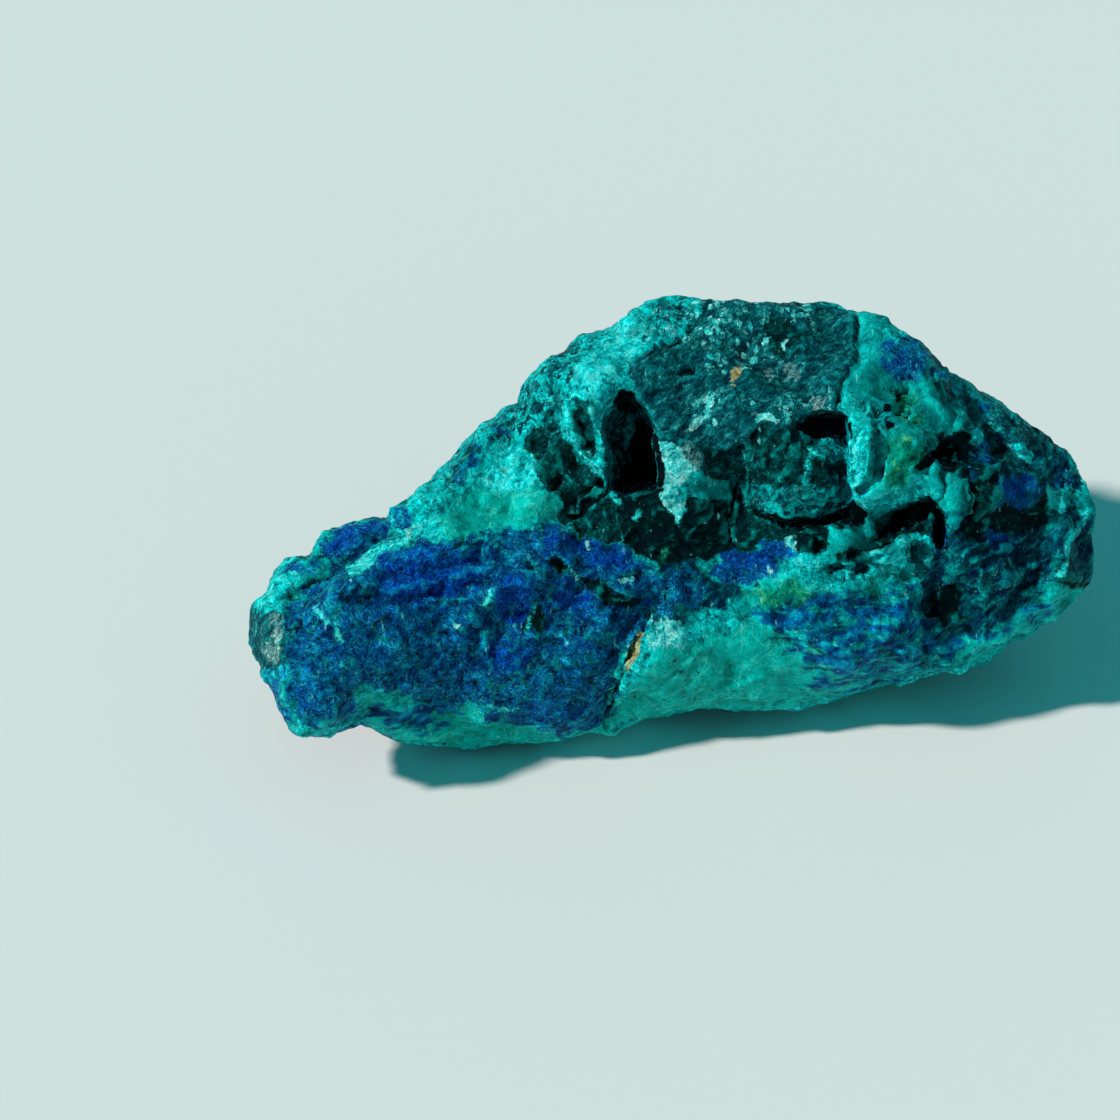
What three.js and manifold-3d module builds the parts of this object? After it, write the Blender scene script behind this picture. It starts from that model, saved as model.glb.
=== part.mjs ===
// An azurite and malachite specimen: one rough hand-sized stone, 60 mm long, lying on its side.
// Its broad face leans back and shows a blue lobe on the left, a dark weathered slab at the top, an open
// pocket beside it, broken blocks on the right and a smooth green belly along the lower edge.
//
// The stone is laid out in the frame of its broad face: x to the right, y up the face, z out of the face.
// At the end the face is leaned back and the stone is set down on z = 0. All sizes are in millimetres.
import * as THREE from "three";
import { ConvexGeometry } from "three/addons/geometries/ConvexGeometry.js";
import { ImprovedNoise } from "three/addons/math/ImprovedNoise.js";
import { mergeVertices } from "three/addons/utils/BufferGeometryUtils.js";
import Module from "manifold-3d";

const wasm = await Module();
wasm.setup();

// ---- Driving dimensions ----
const FACE_TILT = 50; // degrees that the broad face is turned up from lying flat on its back
const FACE_HEIGHT = 12; // height of the face frame's origin over the surface the stone lies on
const RINGS = 64; // cross-sections from the left tip to the right tip
const SIDES = 66; // points round each cross-section
const FRONT_SHARE = 0.62; // share of those points that lie on the broad face
const FULLNESS = 0.8; // under 1 makes the cross-sections fuller than an ellipse

// The stone's outline seen square to the broad face, as [x, y, z], from the left tip to the right tip.
const UPPER_EDGE = [
  [-29.7, -7.6, 4.5], [-29.6, -5.7, 4.2], [-29.0, -4.7, 4.0], [-27.5, -2.9, 3.6], [-25.5, -1.4, 3.2],
  [-24.2, -0.3, 3.0], [-22.7, 0.3, 2.9], [-20.8, 0.6, 2.8], [-19.9, 1.2, 2.7], [-18.3, 2.2, 2.6],
  [-16.6, 3.9, 2.4], [-14.1, 6.5, 2.0], [-12.4, 7.8, 1.8], [-11.3, 8.7, 1.7], [-10.1, 10.5, 1.6],
  [-8.9, 11.8, 1.6], [-7.6, 12.5, 1.7], [-5.6, 13.6, 1.8], [-3.8, 14.5, 1.9], [-2.2, 15.7, 2.0],
  [-0.5, 16.2, 2.1], [0.6, 16.2, 2.2], [3.3, 15.9, 2.2], [6.8, 15.7, 2.2], [8.1, 16.0, 2.2],
  [9.8, 15.8, 2.2], [12.5, 15.1, 2.1], [14.8, 14.6, 2.0], [16.5, 13.6, 1.8], [19.0, 11.4, 1.5],
  [21.7, 9.6, 1.2], [24.3, 8.0, 0.9], [26.9, 6.3, 0.6], [28.5, 5.1, 0.4], [29.5, 3.4, 0.2],
  [30.1, 1.5, 0.0], [30.1, -1.1, 0.0],
];
const LOWER_EDGE = [
  [-29.7, -7.6, 4.5], [-29.3, -9.2, 5.5], [-28.4, -11.0, 6.5], [-27.3, -13.0, 7.2], [-26.3, -14.3, 7.8],
  [-25.2, -14.8, 8.0], [-23.7, -14.8, 7.5], [-22.2, -14.0, 6.0], [-21.3, -14.2, 5.2], [-19.8, -15.0, 4.0],
  [-17.6, -15.7, 2.0], [-15.7, -16.1, 1.0], [-13.0, -15.7, 0.8], [-9.4, -15.4, 0.6], [-6.9, -15.3, 0.5],
  [-4.8, -14.6, 0.3], [-2.4, -14.0, 0.0], [0.2, -13.4, -0.5], [2.8, -13.0, -0.8], [5.3, -13.4, -1.0],
  [7.5, -13.1, -1.2], [11.0, -12.8, -1.4], [13.6, -12.1, -1.5], [16.5, -11.3, -1.5], [20.1, -10.3, -1.6],
  [22.9, -9.5, -1.6], [24.0, -8.7, -1.5], [27.0, -7.3, -1.2], [28.6, -6.1, -0.8], [29.6, -4.9, -0.4],
  [30.1, -3.8, 0.0], [30.1, -1.1, 0.0],
];

// How far the stone swells in front of and behind its outline, as [x, depth].
const FRONT_DEPTH = [
  [-29.7, 3.5], [-24, 4.6], [-14, 6.6], [-4, 7.2], [6, 8.2], [16, 8.0], [25, 5.6], [30.1, 3.5],
];
const BACK_DEPTH = [[-29.7, 6], [-22, 9.5], [-12, 14], [0, 17.5], [10, 17], [20, 13.5], [30.1, 9]];
const TIP_ROUNDING = 3; // half height at which a cross-section nears its full depth
const EDGE_FADE = 1.6; // how quickly the relief and roughness come in from the outline

// Swells and hollows of the broad face: centre, half width and half height, turn in degrees, and rise.
const SWELLS = [
  { at: [-15.5, -7.5], size: [10, 5.5], turn: -6, rise: 1.5 }, // blue lobe
  { at: [-23.5, -11.5], size: [4, 3.5], turn: 0, rise: 0.8 }, // its nose
  { at: [-8.0, -5.9], size: [3.6, 1.7], turn: 12, rise: -1.3 }, // shell-shaped dish in the lobe
  { at: [-17.5, -3.6], size: [5.0, 1.4], turn: 6, rise: -0.8 }, // step across the lobe
  { at: [-12.5, 4.5], size: [4.5, 2.5], turn: 42, rise: -0.9 }, // green slope above the lobe
  { at: [-7.0, 2.6], size: [2.6, 3.4], turn: -25, rise: -1.3 }, // broken ground left of the pocket
  { at: [-0.5, -1.6], size: [5.0, 2.6], turn: -8, rise: -2.0 }, // dark hollow below the pocket
  { at: [4.6, 2.0], size: [2.6, 3.2], turn: 0, rise: -1.0 }, // dark ground beside the lump
  { at: [15.5, -1.0], size: [3.2, 3.4], turn: 0, rise: -1.9 }, // bay below the crystals
  { at: [4.0, -9.3], size: [8.0, 2.6], turn: 3, rise: 1.2 }, // green belly
  { at: [15.5, -7.2], size: [5.0, 2.4], turn: 14, rise: 0.8 }, // blue and green flank
  { at: [20.8, 1.6], size: [3.0, 4.2], turn: 12, rise: 0.9 }, // brow of the right-hand lobe
  { at: [22.8, -4.4], size: [4.5, 1.9], turn: 25, rise: -1.1 }, // hollow below it
  { at: [18.6, -4.8], size: [1.5, 2.0], turn: 20, rise: -1.7 }, // dark notch in the flank
  { at: [20.0, 5.6], size: [3.4, 1.3], turn: -38, rise: -1.1 }, // trough below the right shoulder
  { at: [16.6, 8.6], size: [2.6, 2.4], turn: 0, rise: 0.7 }, // knob above the crystals
];

// Grooves (negative rise) and ribs across the broad face, each along a line of [x, y] points.
const RIBS = [
  { line: [[-27.0, -5.4], [-23.7, -3.2], [-20.0, -0.6]], width: 0.8, rise: -1.5 }, // groove behind the lobe
  { line: [[-26.8, -7.2], [-22.4, -4.2], [-18.6, -2.0], [-12.6, -1.2], [-7.0, -1.9]], width: 1.2, rise: 1 },
  { line: [[-14.2, -7.4], [-12.4, -4.4], [-8.2, -3.4], [-3.6, -4.6]], width: 1, rise: 0.9 }, // rim of the dish
  { line: [[-2.2, -5.4], [-3.2, -9.0], [-5.2, -14.0]], width: 1.1, rise: -2.0 }, // valley right of the lobe
  { line: [[-10.6, 9.6], [-8.4, 6.4], [-6.6, 8.0], [-4.4, 11.0]], width: 1.0, rise: 0.8 }, // crest above it
  { line: [[18.6, 11.4], [20.6, 9.2], [21.8, 6.2], [24.2, 4.0]], width: 0.9, rise: -1.2 }, // shoulder seam
  { line: [[17.7, -10.0], [22.4, -8.3], [26.8, -5.4]], width: 1.3, rise: 1.0 }, // rim of the lower right
  { line: [[28.2, 1.2], [27.4, -1.4], [26.6, -4.4]], width: 0.8, rise: 0.9 }, // edge of the right end face
];

// Flat breaks, as the direction that each faces and its distance from the face frame's origin.
const BREAKS = [
  { facing: [-0.93, 0.1, 0.36], at: 28.5 }, // left end
  { facing: [0.94, -0.05, 0.34], at: 28.6 }, // right end
  { facing: [0.02, 0.56, 0.83], at: 11.3 }, // weathered slab
  { facing: [0.64, -0.06, 0.77], at: 20.3 }, // slope down to the right end
  { facing: [-0.35, 0.62, -0.7], at: 15.2 },
  { facing: [0.3, 0.72, -0.62], at: 15.6 },
  { facing: [0.75, 0.25, -0.6], at: 21.2 },
  { facing: [-0.72, 0.05, -0.69], at: 19.6 },
  { facing: [0.05, 0.2, -0.98], at: 15.9 },
  { facing: [0.6, -0.62, -0.5], at: 21.6 },
  { facing: [-0.55, -0.5, -0.67], at: 16.9 },
];
const BREAK_SHARE = 0.85; // share of a bulge that a break takes off

// Hollows cut into the broad face, each the hull of its mouth and of its floor.
const HOLLOWS = {
  pocket: [
    [-4.6, 9.2, 12], [-3.6, 10.2, 12], [-2.6, 9.7, 12], [-1.2, 7.2, 12], [-0.2, 4.2, 12], [-0.4, 2.0, 12],
    [-3.9, 1.6, 12], [-5.2, 2.4, 12], [-5.5, 6.4, 12], [-3.4, 8.6, 1.2], [-1.6, 6.2, 0.4],
    [-1.2, 3.0, 0.2], [-3.8, 2.8, 0.2], [-4.4, 6.0, 0.8],
  ],
  leftPocket: [
    [-7.4, 7.6, 12], [-6.6, 8.2, 12], [-5.9, 6.4, 12], [-5.5, 4.4, 12], [-6.4, 4.4, 12], [-7.2, 5.8, 12],
    [-6.6, 6.9, 4.6], [-6.0, 5.2, 4.4],
  ],
  brokenCrack: [
    [-5.2, 3.9, 12], [-4.2, 2.2, 12], [-7.6, 0.6, 12], [-9.2, 0.6, 12], [-8.0, 2.0, 12], [-6.3, 3.3, 12],
    [-5.2, 2.9, 4.0], [-7.2, 1.8, 4.8],
  ],
  darkGround: [
    [1.4, 5.1, 12], [3.0, 5.6, 12], [4.9, 6.0, 12], [5.4, 3.7, 12], [5.2, -0.6, 12], [3.5, -1.8, 12],
    [1.6, -1.2, 12], [0.8, 1.3, 12], [1.3, 3.1, 12], [1.8, 4.8, 7.8], [4.4, 5.4, 7.6], [4.8, 0.2, 6.8],
    [2.6, -1.2, 6.6],
  ],
  bay: [
    [7.6, 7.0, 12], [9.0, 7.7, 12], [11.9, 7.8, 12], [12.7, 5.8, 12], [12.6, 1.6, 12], [12.1, 0.4, 12],
    [8.6, -0.5, 12], [6.0, 0.2, 12], [5.2, 1.2, 12], [6.4, 4.0, 12], [8.4, 7.0, 6.4], [11.6, 7.5, 5.4],
    [12.1, 5.6, 5.6], [12.0, 1.8, 6.4], [8.6, 0.2, 6.0], [6.6, 1.2, 7.0], [7.6, 4.0, 6.6],
  ],
  overhang: [
    [8.2, 6.9, 9], [9.0, 7.5, 9], [10.1, 7.8, 9], [11.3, 7.7, 9], [12.2, 7.4, 9], [12.1, 6.1, 9],
    [9.6, 6.3, 9], [9.2, 7.5, 4.6], [10.6, 8.1, 3.6], [11.9, 7.8, 3.6], [11.8, 6.7, 4.4],
    [10.2, 6.7, 4.8],
  ],
  underLumpLeft: [
    [5.0, 1.5, 9], [7.9, 0.3, 9], [7.6, -0.5, 9], [5.1, 0.8, 9], [6.2, 0.9, 4.4], [7.6, 0.1, 3.8],
  ],
  underLumpRight: [
    [7.5, 0.3, 9], [9.0, 0.4, 9], [12.1, 1.2, 9], [12.2, 0.0, 9], [8.6, -0.7, 9], [7.4, -0.5, 9],
    [8.4, 0.1, 3.6], [11.6, 0.9, 3.4], [11.8, 0.3, 3.4],
  ],
  gap: [
    [13.1, 0.7, 11], [14.6, 0.9, 11], [16.0, 1.4, 11], [17.5, 2.2, 11], [18.4, 1.7, 11], [18.3, 0.8, 11],
    [17.2, 0.0, 11], [15.6, -0.7, 11], [14.2, -1.1, 11], [12.9, -1.0, 11], [13.8, 0.2, 4.0],
    [16.0, 0.9, 2.6], [17.8, 1.5, 2.6], [17.4, 0.7, 3.0], [15.8, 0.0, 3.4], [14.2, -0.5, 4.2],
  ],
  gapEnd: [
    [17.6, 2.0, 11], [18.6, 1.6, 11], [19.1, 0.3, 11], [19.0, -1.3, 11], [18.4, -2.7, 11],
    [17.9, -1.6, 11], [17.4, 0.2, 11], [18.2, 1.0, 3.0], [18.5, -0.8, 3.4], [18.3, -1.8, 4.4],
  ],
  rightPit: [
    [16.2, 5.0, 11], [17.6, 5.9, 11], [18.9, 6.3, 11], [20.3, 5.9, 11], [20.5, 4.7, 11], [19.8, 3.8, 11],
    [18.2, 3.6, 11], [16.8, 4.1, 11], [18.0, 5.2, 3.6], [19.6, 5.3, 3.2], [19.4, 4.6, 3.4],
    [17.6, 4.6, 4.2],
  ],
};

// Crystals and broken blocks that stand on the broad face, each the hull of its corners.
const BLOCKS = {
  flap: [
    [-1.5, 6.2, 9.4], [-0.6, 5.8, 10.2], [1.1, 5.6, 10.5], [1.9, 4.8, 9.9], [1.4, 2.4, 8.9],
    [0.2, 0.0, 8.3], [-1.3, 1.6, 8.8], [-0.9, 4.0, 9.9], [-0.4, 5.2, 3.0], [1.2, 4.6, 3.0],
    [0.3, 1.6, 3.0], [-0.8, 2.6, 3.0],
  ],
  blade: [
    [12.5, 7.3, 7.9], [13.2, 8.6, 8.6], [14.5, 8.0, 8.0], [11.9, 5.4, 8.0], [13.1, 5.7, 10.2],
    [12.9, 3.3, 10.2], [12.0, 2.2, 8.7], [14.0, 5.4, 8.6], [13.4, 2.9, 8.6], [12.9, 7.4, 3.0],
    [14.6, 7.6, 3.0], [12.5, 3.0, 3.0], [14.0, 3.6, 3.0],
  ],
  greenBlock: [
    [14.5, 6.2, 8.6], [15.7, 6.9, 8.6], [17.2, 5.0, 8.2], [17.0, 3.2, 8.0], [15.4, 2.2, 8.4],
    [15.5, 4.7, 9.8], [14.0, 3.1, 9.7], [13.9, 2.4, 8.8], [14.8, 6.0, 3.0], [16.8, 5.6, 3.0],
    [16.6, 2.8, 3.0], [14.0, 2.6, 3.0],
  ],
  lip: [
    [12.4, 1.8, 8.8], [13.3, 0.8, 8.0], [15.8, 1.3, 7.5], [17.2, 2.2, 7.0], [14.2, 2.8, 9.2],
    [16.6, 3.2, 8.0], [13.0, 2.4, 4.0], [16.8, 2.8, 4.0], [14.4, 1.8, 4.0],
  ],
  ledge: [
    [12.4, -1.9, 7.2], [14.1, -1.3, 8.1], [16.1, -0.6, 7.6], [12.0, -2.5, 6.6], [13.3, -3.4, 6.6],
    [15.9, -3.7, 6.1], [16.6, -2.5, 6.3], [12.8, -2.2, 3.0], [16.0, -1.6, 3.0], [15.4, -3.2, 3.0],
    [13.0, -3.0, 3.0],
  ],
  cube: [
    [10.5, -0.2, 7.4], [12.0, 0.0, 7.8], [12.3, -1.6, 7.6], [11.3, -2.1, 7.0], [10.3, -1.6, 7.2],
    [11.2, -0.8, 8.0], [10.6, -0.4, 3.0], [12.1, -0.2, 3.0], [12.1, -1.7, 3.0], [10.6, -1.7, 3.0],
  ],
  chip: [
    [12.6, -0.5, 6.8], [13.0, 0.4, 6.6], [13.9, 0.5, 6.4], [13.7, -1.0, 6.7], [13.1, -1.3, 6.4],
    [13.0, 0.2, 3.0], [13.7, 0.2, 3.0], [13.4, -1.0, 3.0],
  ],
  tongue: [
    [18.7, 3.4, 7.0], [20.0, 4.4, 7.2], [21.4, 3.7, 7.0], [21.4, 1.7, 6.8], [19.8, -0.2, 6.6],
    [18.9, 1.3, 6.9], [19.2, 3.2, 2.0], [21.2, 3.0, 2.0], [20.0, 0.6, 2.0],
  ],
};

// The rounded lump in its bay.
const LUMP_AT = [8.5, 3.5, 5.5];
const LUMP_SIZE = [4.0, 3.4, 3.5];
const LUMP_WAVES = 2.1; // waves of roughness over its radius
const LUMP_ROUGHNESS = 0.3;

// Roughness of the whole surface, as wave length and height.
const LUMPS = [[9, 0.8], [3.1, 0.3]];
const LUMPS_START = new THREE.Vector3(7.3, 1.9, 4.1); // where in the field of noise the surface begins

// Small flat breaks all over: how many, how far each can slope or step, and how wide their edges are.
const CHIPS = 230;
const CHIP_SLOPE = 0.36;
const CHIP_STEP = 0.25;
const CHIP_BLEND = 0.43;
const OUTLINE_SHARE = 0.22; // share of the roughness that the outline of the broad face keeps
const SCATTER = 0.36; // how far the surface points stray from even spacing, less and less towards the tips

// Underside: it stays just clear of what the stone lies on, except at flat worn spots, [x, y, radius]
// seen from above.
const UNDERSIDE_CLEARANCE = 1.0;
const UNDERSIDE_WAVE = 7;
const WORN_DEPTH = 2.2;
const WORN_SPOTS = [[0, 1, 8], [-14.5, -7, 5], [15, 2, 5.5]];
const BLOCK_BELOW = 100; // edge of the block that everything below the surface is cut off with

// ---- Helpers ----
const noise = new ImprovedNoise();
const radians = THREE.MathUtils.degToRad;
THREE.MathUtils.seededRandom(41);
const stray = (reach) => (2 * THREE.MathUtils.seededRandom() - 1) * reach;

// Straight-line interpolation in a list of [x, value].
function along(list, x) {
  const i = Math.max(1, list.findIndex((p) => p[0] >= x));
  const [a, b] = [list[i - 1], list[i]];
  return THREE.MathUtils.mapLinear(THREE.MathUtils.clamp(x, a[0], b[0]), a[0], b[0], a[1], b[1]);
}

// Distance from a point of the face to a line of points.
function distanceToLine(line, x, y) {
  const point = new THREE.Vector3(x, y, 0);
  const nearest = new THREE.Vector3();
  let least = Infinity;
  for (let i = 1; i < line.length; i++) {
    const stretch = new THREE.Line3(new THREE.Vector3(...line[i - 1], 0), new THREE.Vector3(...line[i], 0));
    stretch.closestPointToPoint(point, true, nearest);
    least = Math.min(least, nearest.distanceTo(point));
  }
  return least;
}

// Height of the broad face over its plain swelling at a point.
function relief(x, y) {
  let height = 0;
  for (const { at, size, turn, rise } of SWELLS) {
    const offset = new THREE.Vector2(x - at[0], y - at[1]).rotateAround(new THREE.Vector2(), -radians(turn));
    height += rise * Math.exp(-((offset.x / size[0]) ** 2) - (offset.y / size[1]) ** 2);
  }
  for (const { line, width, rise } of RIBS) {
    height += rise * Math.exp(-((distanceToLine(line, x, y) / width) ** 2));
  }
  return height;
}

// The same geometry with its seams closed.
function seamless(geometry) {
  geometry.deleteAttribute("normal");
  geometry.deleteAttribute("uv");
  return mergeVertices(geometry, 1e-4);
}

// A closed solid from a geometry.
function solid(geometry) {
  const merged = seamless(geometry);
  return new wasm.Manifold(
    new wasm.Mesh({
      numProp: 3,
      vertProperties: merged.attributes.position.array,
      triVerts: new Uint32Array(merged.index.array),
    }),
  );
}

// Moves every vertex of a geometry with change(point).
function reshape(geometry, change) {
  const position = geometry.attributes.position;
  const point = new THREE.Vector3();
  for (let i = 0; i < position.count; i++) {
    change(point.fromBufferAttribute(position, i), i);
    position.setXYZ(i, point.x, point.y, point.z);
  }
  return geometry;
}

// Turns a point or geometry from the face frame to the frame of the surface the stone lies on.
const setDown = new THREE.Matrix4()
  .makeTranslation(0, 0, FACE_HEIGHT)
  .multiply(new THREE.Matrix4().makeRotationX(radians(FACE_TILT)));
const pickUp = setDown.clone().invert();

// ---- The body of the stone ----
function bodyGeometry() {
  const upper = new THREE.CatmullRomCurve3(UPPER_EDGE.map((p) => new THREE.Vector3(...p)));
  const lower = new THREE.CatmullRomCurve3(LOWER_EDGE.map((p) => new THREE.Vector3(...p)));
  const loft = new THREE.SphereGeometry(1, SIDES, RINGS);
  const uv = loft.attributes.uv;
  const scatter = Array.from({ length: (RINGS + 1) * SIDES }, (_, i) => {
    const reach = SCATTER * Math.sin((Math.PI * Math.floor(i / SIDES)) / RINGS);
    return [stray(reach), stray(reach)];
  });
  // Each meridian step of the sphere becomes a cross-section and each parallel a line along the stone.
  reshape(loft, (point, i) => {
    const ring = Math.floor(i / (SIDES + 1));
    const side = (i % (SIDES + 1)) % SIDES;
    const [strayAlong, strayRound] = scatter[ring * SIDES + side];
    const t = THREE.MathUtils.clamp((ring + strayAlong) / RINGS, 0, 1);
    const u = side ? 1 - (side + strayRound) / SIDES : 1;
    const front = u < FRONT_SHARE;
    const turn = Math.PI * (front ? u / FRONT_SHARE : 1 + (u - FRONT_SHARE) / (1 - FRONT_SHARE));
    const top = upper.getPointAt(t);
    const bottom = lower.getPointAt(t);
    const halfHeight = top.distanceTo(bottom) / 2;
    const bulge = Math.abs(Math.sin(turn)) ** FULLNESS;
    point.lerpVectors(top, bottom, (1 - Math.cos(turn)) / 2);
    const nearTip = 1 - Math.exp(-halfHeight / TIP_ROUNDING);
    const depth = along(front ? FRONT_DEPTH : BACK_DEPTH, point.x) * nearTip * bulge;
    point.z += front ? depth + relief(point.x, point.y) * Math.min(1, EDGE_FADE * bulge) * nearTip : -depth;
  });
  const geometry = seamless(loft);
  breakOff(geometry);
  roughen(geometry);
  return wearUnderside(geometry);
}

// Pushes the surface in and out along its normals: rolling lumps, and small flat breaks that meet in edges.
function roughen(geometry) {
  geometry.computeVertexNormals();
  const { position, normal } = geometry.attributes;
  const chips = Array.from({ length: CHIPS }, () => ({
    centre: new THREE.Vector3().fromBufferAttribute(
      position,
      Math.floor(THREE.MathUtils.seededRandom() * position.count),
    ),
    slope: new THREE.Vector3(stray(CHIP_SLOPE), stray(CHIP_SLOPE), stray(CHIP_SLOPE)),
    step: stray(CHIP_STEP),
  }));
  const outward = new THREE.Vector3();
  const offset = new THREE.Vector3();
  reshape(geometry, (point, i) => {
    let push = 0;
    for (const [wave, height] of LUMPS) {
      const place = point.clone().divideScalar(wave).add(LUMPS_START);
      push += height * noise.noise(place.x, place.y, place.z);
    }
    const reaches = chips.map((chip) => point.distanceTo(chip.centre));
    const nearest = Math.min(...reaches);
    let weights = 0;
    let heights = 0;
    chips.forEach(({ centre, slope, step }, k) => {
      const weight = Math.exp((nearest - reaches[k]) / CHIP_BLEND);
      weights += weight;
      heights += weight * (step + slope.dot(offset.subVectors(point, centre)));
    });
    outward.fromBufferAttribute(normal, i);
    const share = THREE.MathUtils.lerp(OUTLINE_SHARE, 1, Math.min(1, EDGE_FADE * Math.abs(outward.z)));
    point.addScaledVector(outward, share * (push + heights / weights));
  });
}

// Flattens whatever stands out past each break.
function breakOff(geometry) {
  reshape(geometry, (point) => {
    for (const { facing, at } of BREAKS) {
      const direction = new THREE.Vector3(...facing).normalize();
      const excess = point.dot(direction) - at;
      if (excess > 0) point.addScaledVector(direction, -excess * BREAK_SHARE);
    }
  });
}

// Lifts the underside clear of the surface, except at the worn spots.
function wearUnderside(geometry) {
  return reshape(geometry, (point) => {
    point.applyMatrix4(setDown);
    const wave = noise.noise(point.x / UNDERSIDE_WAVE, point.y / UNDERSIDE_WAVE, LUMPS_START.z);
    let lowest = UNDERSIDE_CLEARANCE * (1 + wave);
    for (const [x, y, radius] of WORN_SPOTS) {
      lowest -= WORN_DEPTH * Math.exp(-(((point.x - x) / radius) ** 2) - ((point.y - y) / radius) ** 2);
    }
    point.z = Math.max(point.z, lowest);
    point.applyMatrix4(pickUp);
  });
}

// ---- The lump, the blocks and the hollows ----
function lumpGeometry() {
  const geometry = seamless(new THREE.IcosahedronGeometry(1, 4));
  reshape(geometry, (point) => {
    const place = point.clone().multiplyScalar(LUMP_WAVES).add(LUMPS_START);
    point.multiplyScalar(1 + LUMP_ROUGHNESS * noise.noise(place.x, place.y, place.z));
    point.multiply(new THREE.Vector3(...LUMP_SIZE)).add(new THREE.Vector3(...LUMP_AT));
  });
  return geometry;
}

function hull(corners) {
  return solid(new ConvexGeometry(corners.map((corner) => new THREE.Vector3(...corner))));
}

let stone = solid(bodyGeometry());
for (const corners of Object.values(HOLLOWS)) stone = stone.subtract(hull(corners));
stone = stone.add(solid(lumpGeometry()));
for (const corners of Object.values(BLOCKS)) stone = stone.add(hull(corners));

const below = new THREE.BoxGeometry(BLOCK_BELOW, BLOCK_BELOW, BLOCK_BELOW);
below.translate(0, 0, -BLOCK_BELOW / 2).applyMatrix4(pickUp);
const { vertProperties, triVerts } = stone.subtract(solid(below)).getMesh();
const geometry = new THREE.BufferGeometry();
geometry.setAttribute("position", new THREE.BufferAttribute(vertProperties, 3));
geometry.setIndex(new THREE.BufferAttribute(triVerts, 1));
geometry.applyMatrix4(setDown);
geometry.computeVertexNormals();

const mineral = new THREE.MeshStandardMaterial({ color: 0x0b7c86, roughness: 0.8, metalness: 0 });
const mesh = new THREE.Mesh(geometry, mineral);
mesh.name = "azurite_malachite_stone";

const specimen = new THREE.Group();
specimen.name = "azurite_malachite_specimen";
specimen.add(mesh);
export default specimen;
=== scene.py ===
"""An azurite and malachite specimen: one rough hand-sized stone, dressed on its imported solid.

The stone's broad face leans back and nearly faces the camera. Places on that face are written as the
camera sees them, as pixels of the 1120-pixel square frame, and seen() works out where each point of the
surface falls in it. Heights and widths are real millimetres. The rest of the surface is made from
three-dimensional patterns, so the stone is finished all round.
"""

import math
from types import SimpleNamespace

import bpy
import numpy as np
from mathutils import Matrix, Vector


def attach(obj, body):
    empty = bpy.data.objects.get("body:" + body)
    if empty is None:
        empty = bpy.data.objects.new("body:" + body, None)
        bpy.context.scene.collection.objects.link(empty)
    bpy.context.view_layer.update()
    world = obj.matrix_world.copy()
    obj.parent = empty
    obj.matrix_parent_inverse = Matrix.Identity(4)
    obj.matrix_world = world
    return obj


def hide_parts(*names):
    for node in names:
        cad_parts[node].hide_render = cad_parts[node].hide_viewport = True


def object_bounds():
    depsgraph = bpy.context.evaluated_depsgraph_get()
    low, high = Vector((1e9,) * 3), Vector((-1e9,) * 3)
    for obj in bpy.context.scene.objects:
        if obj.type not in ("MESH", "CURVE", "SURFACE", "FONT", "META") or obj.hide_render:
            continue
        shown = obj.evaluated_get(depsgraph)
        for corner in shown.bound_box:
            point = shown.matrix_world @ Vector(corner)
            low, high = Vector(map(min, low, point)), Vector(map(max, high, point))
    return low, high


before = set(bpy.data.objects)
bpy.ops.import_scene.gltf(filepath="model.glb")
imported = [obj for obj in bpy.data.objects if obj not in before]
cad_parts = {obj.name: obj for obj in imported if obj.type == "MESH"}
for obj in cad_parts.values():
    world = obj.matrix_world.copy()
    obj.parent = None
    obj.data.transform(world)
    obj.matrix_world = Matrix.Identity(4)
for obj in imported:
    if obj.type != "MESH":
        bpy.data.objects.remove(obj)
cad_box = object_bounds()

STONE = "azurite_malachite_stone"
MM = 0.001

# ---- Camera, which also sets the frame that places on the broad face are written in ----
FRAME_PIXELS = 1120
PIXELS_PER_MM = 14.0
CAMERA_ELEVATION = math.radians(40)
CAMERA_DISTANCE = 220 * MM
AIM = np.array([-8.0, -1.607, 10.085]) * MM
TOWARDS_CAMERA = np.array([0.0, -math.cos(CAMERA_ELEVATION), math.sin(CAMERA_ELEVATION)])
UP_IN_FRAME = np.array([0.0, math.sin(CAMERA_ELEVATION), math.cos(CAMERA_ELEVATION)])
HALF_VIEW = 0.5 * FRAME_PIXELS / PIXELS_PER_MM * MM
CLIP_START = 0.01

# ---- Mesh ----
VOXEL = 0.17 * MM
SMOOTHING_ROUNDS = 6
MOST_TRIANGLES = 192_000
WEAR_AND_SHADE_ROUNDS = 14  # rounds of smoothing that tell crests from hollows
WEAR_AND_SHADE_HEIGHT = 0.12 * MM  # height over the smoothed surface that counts as a full crest
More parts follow.
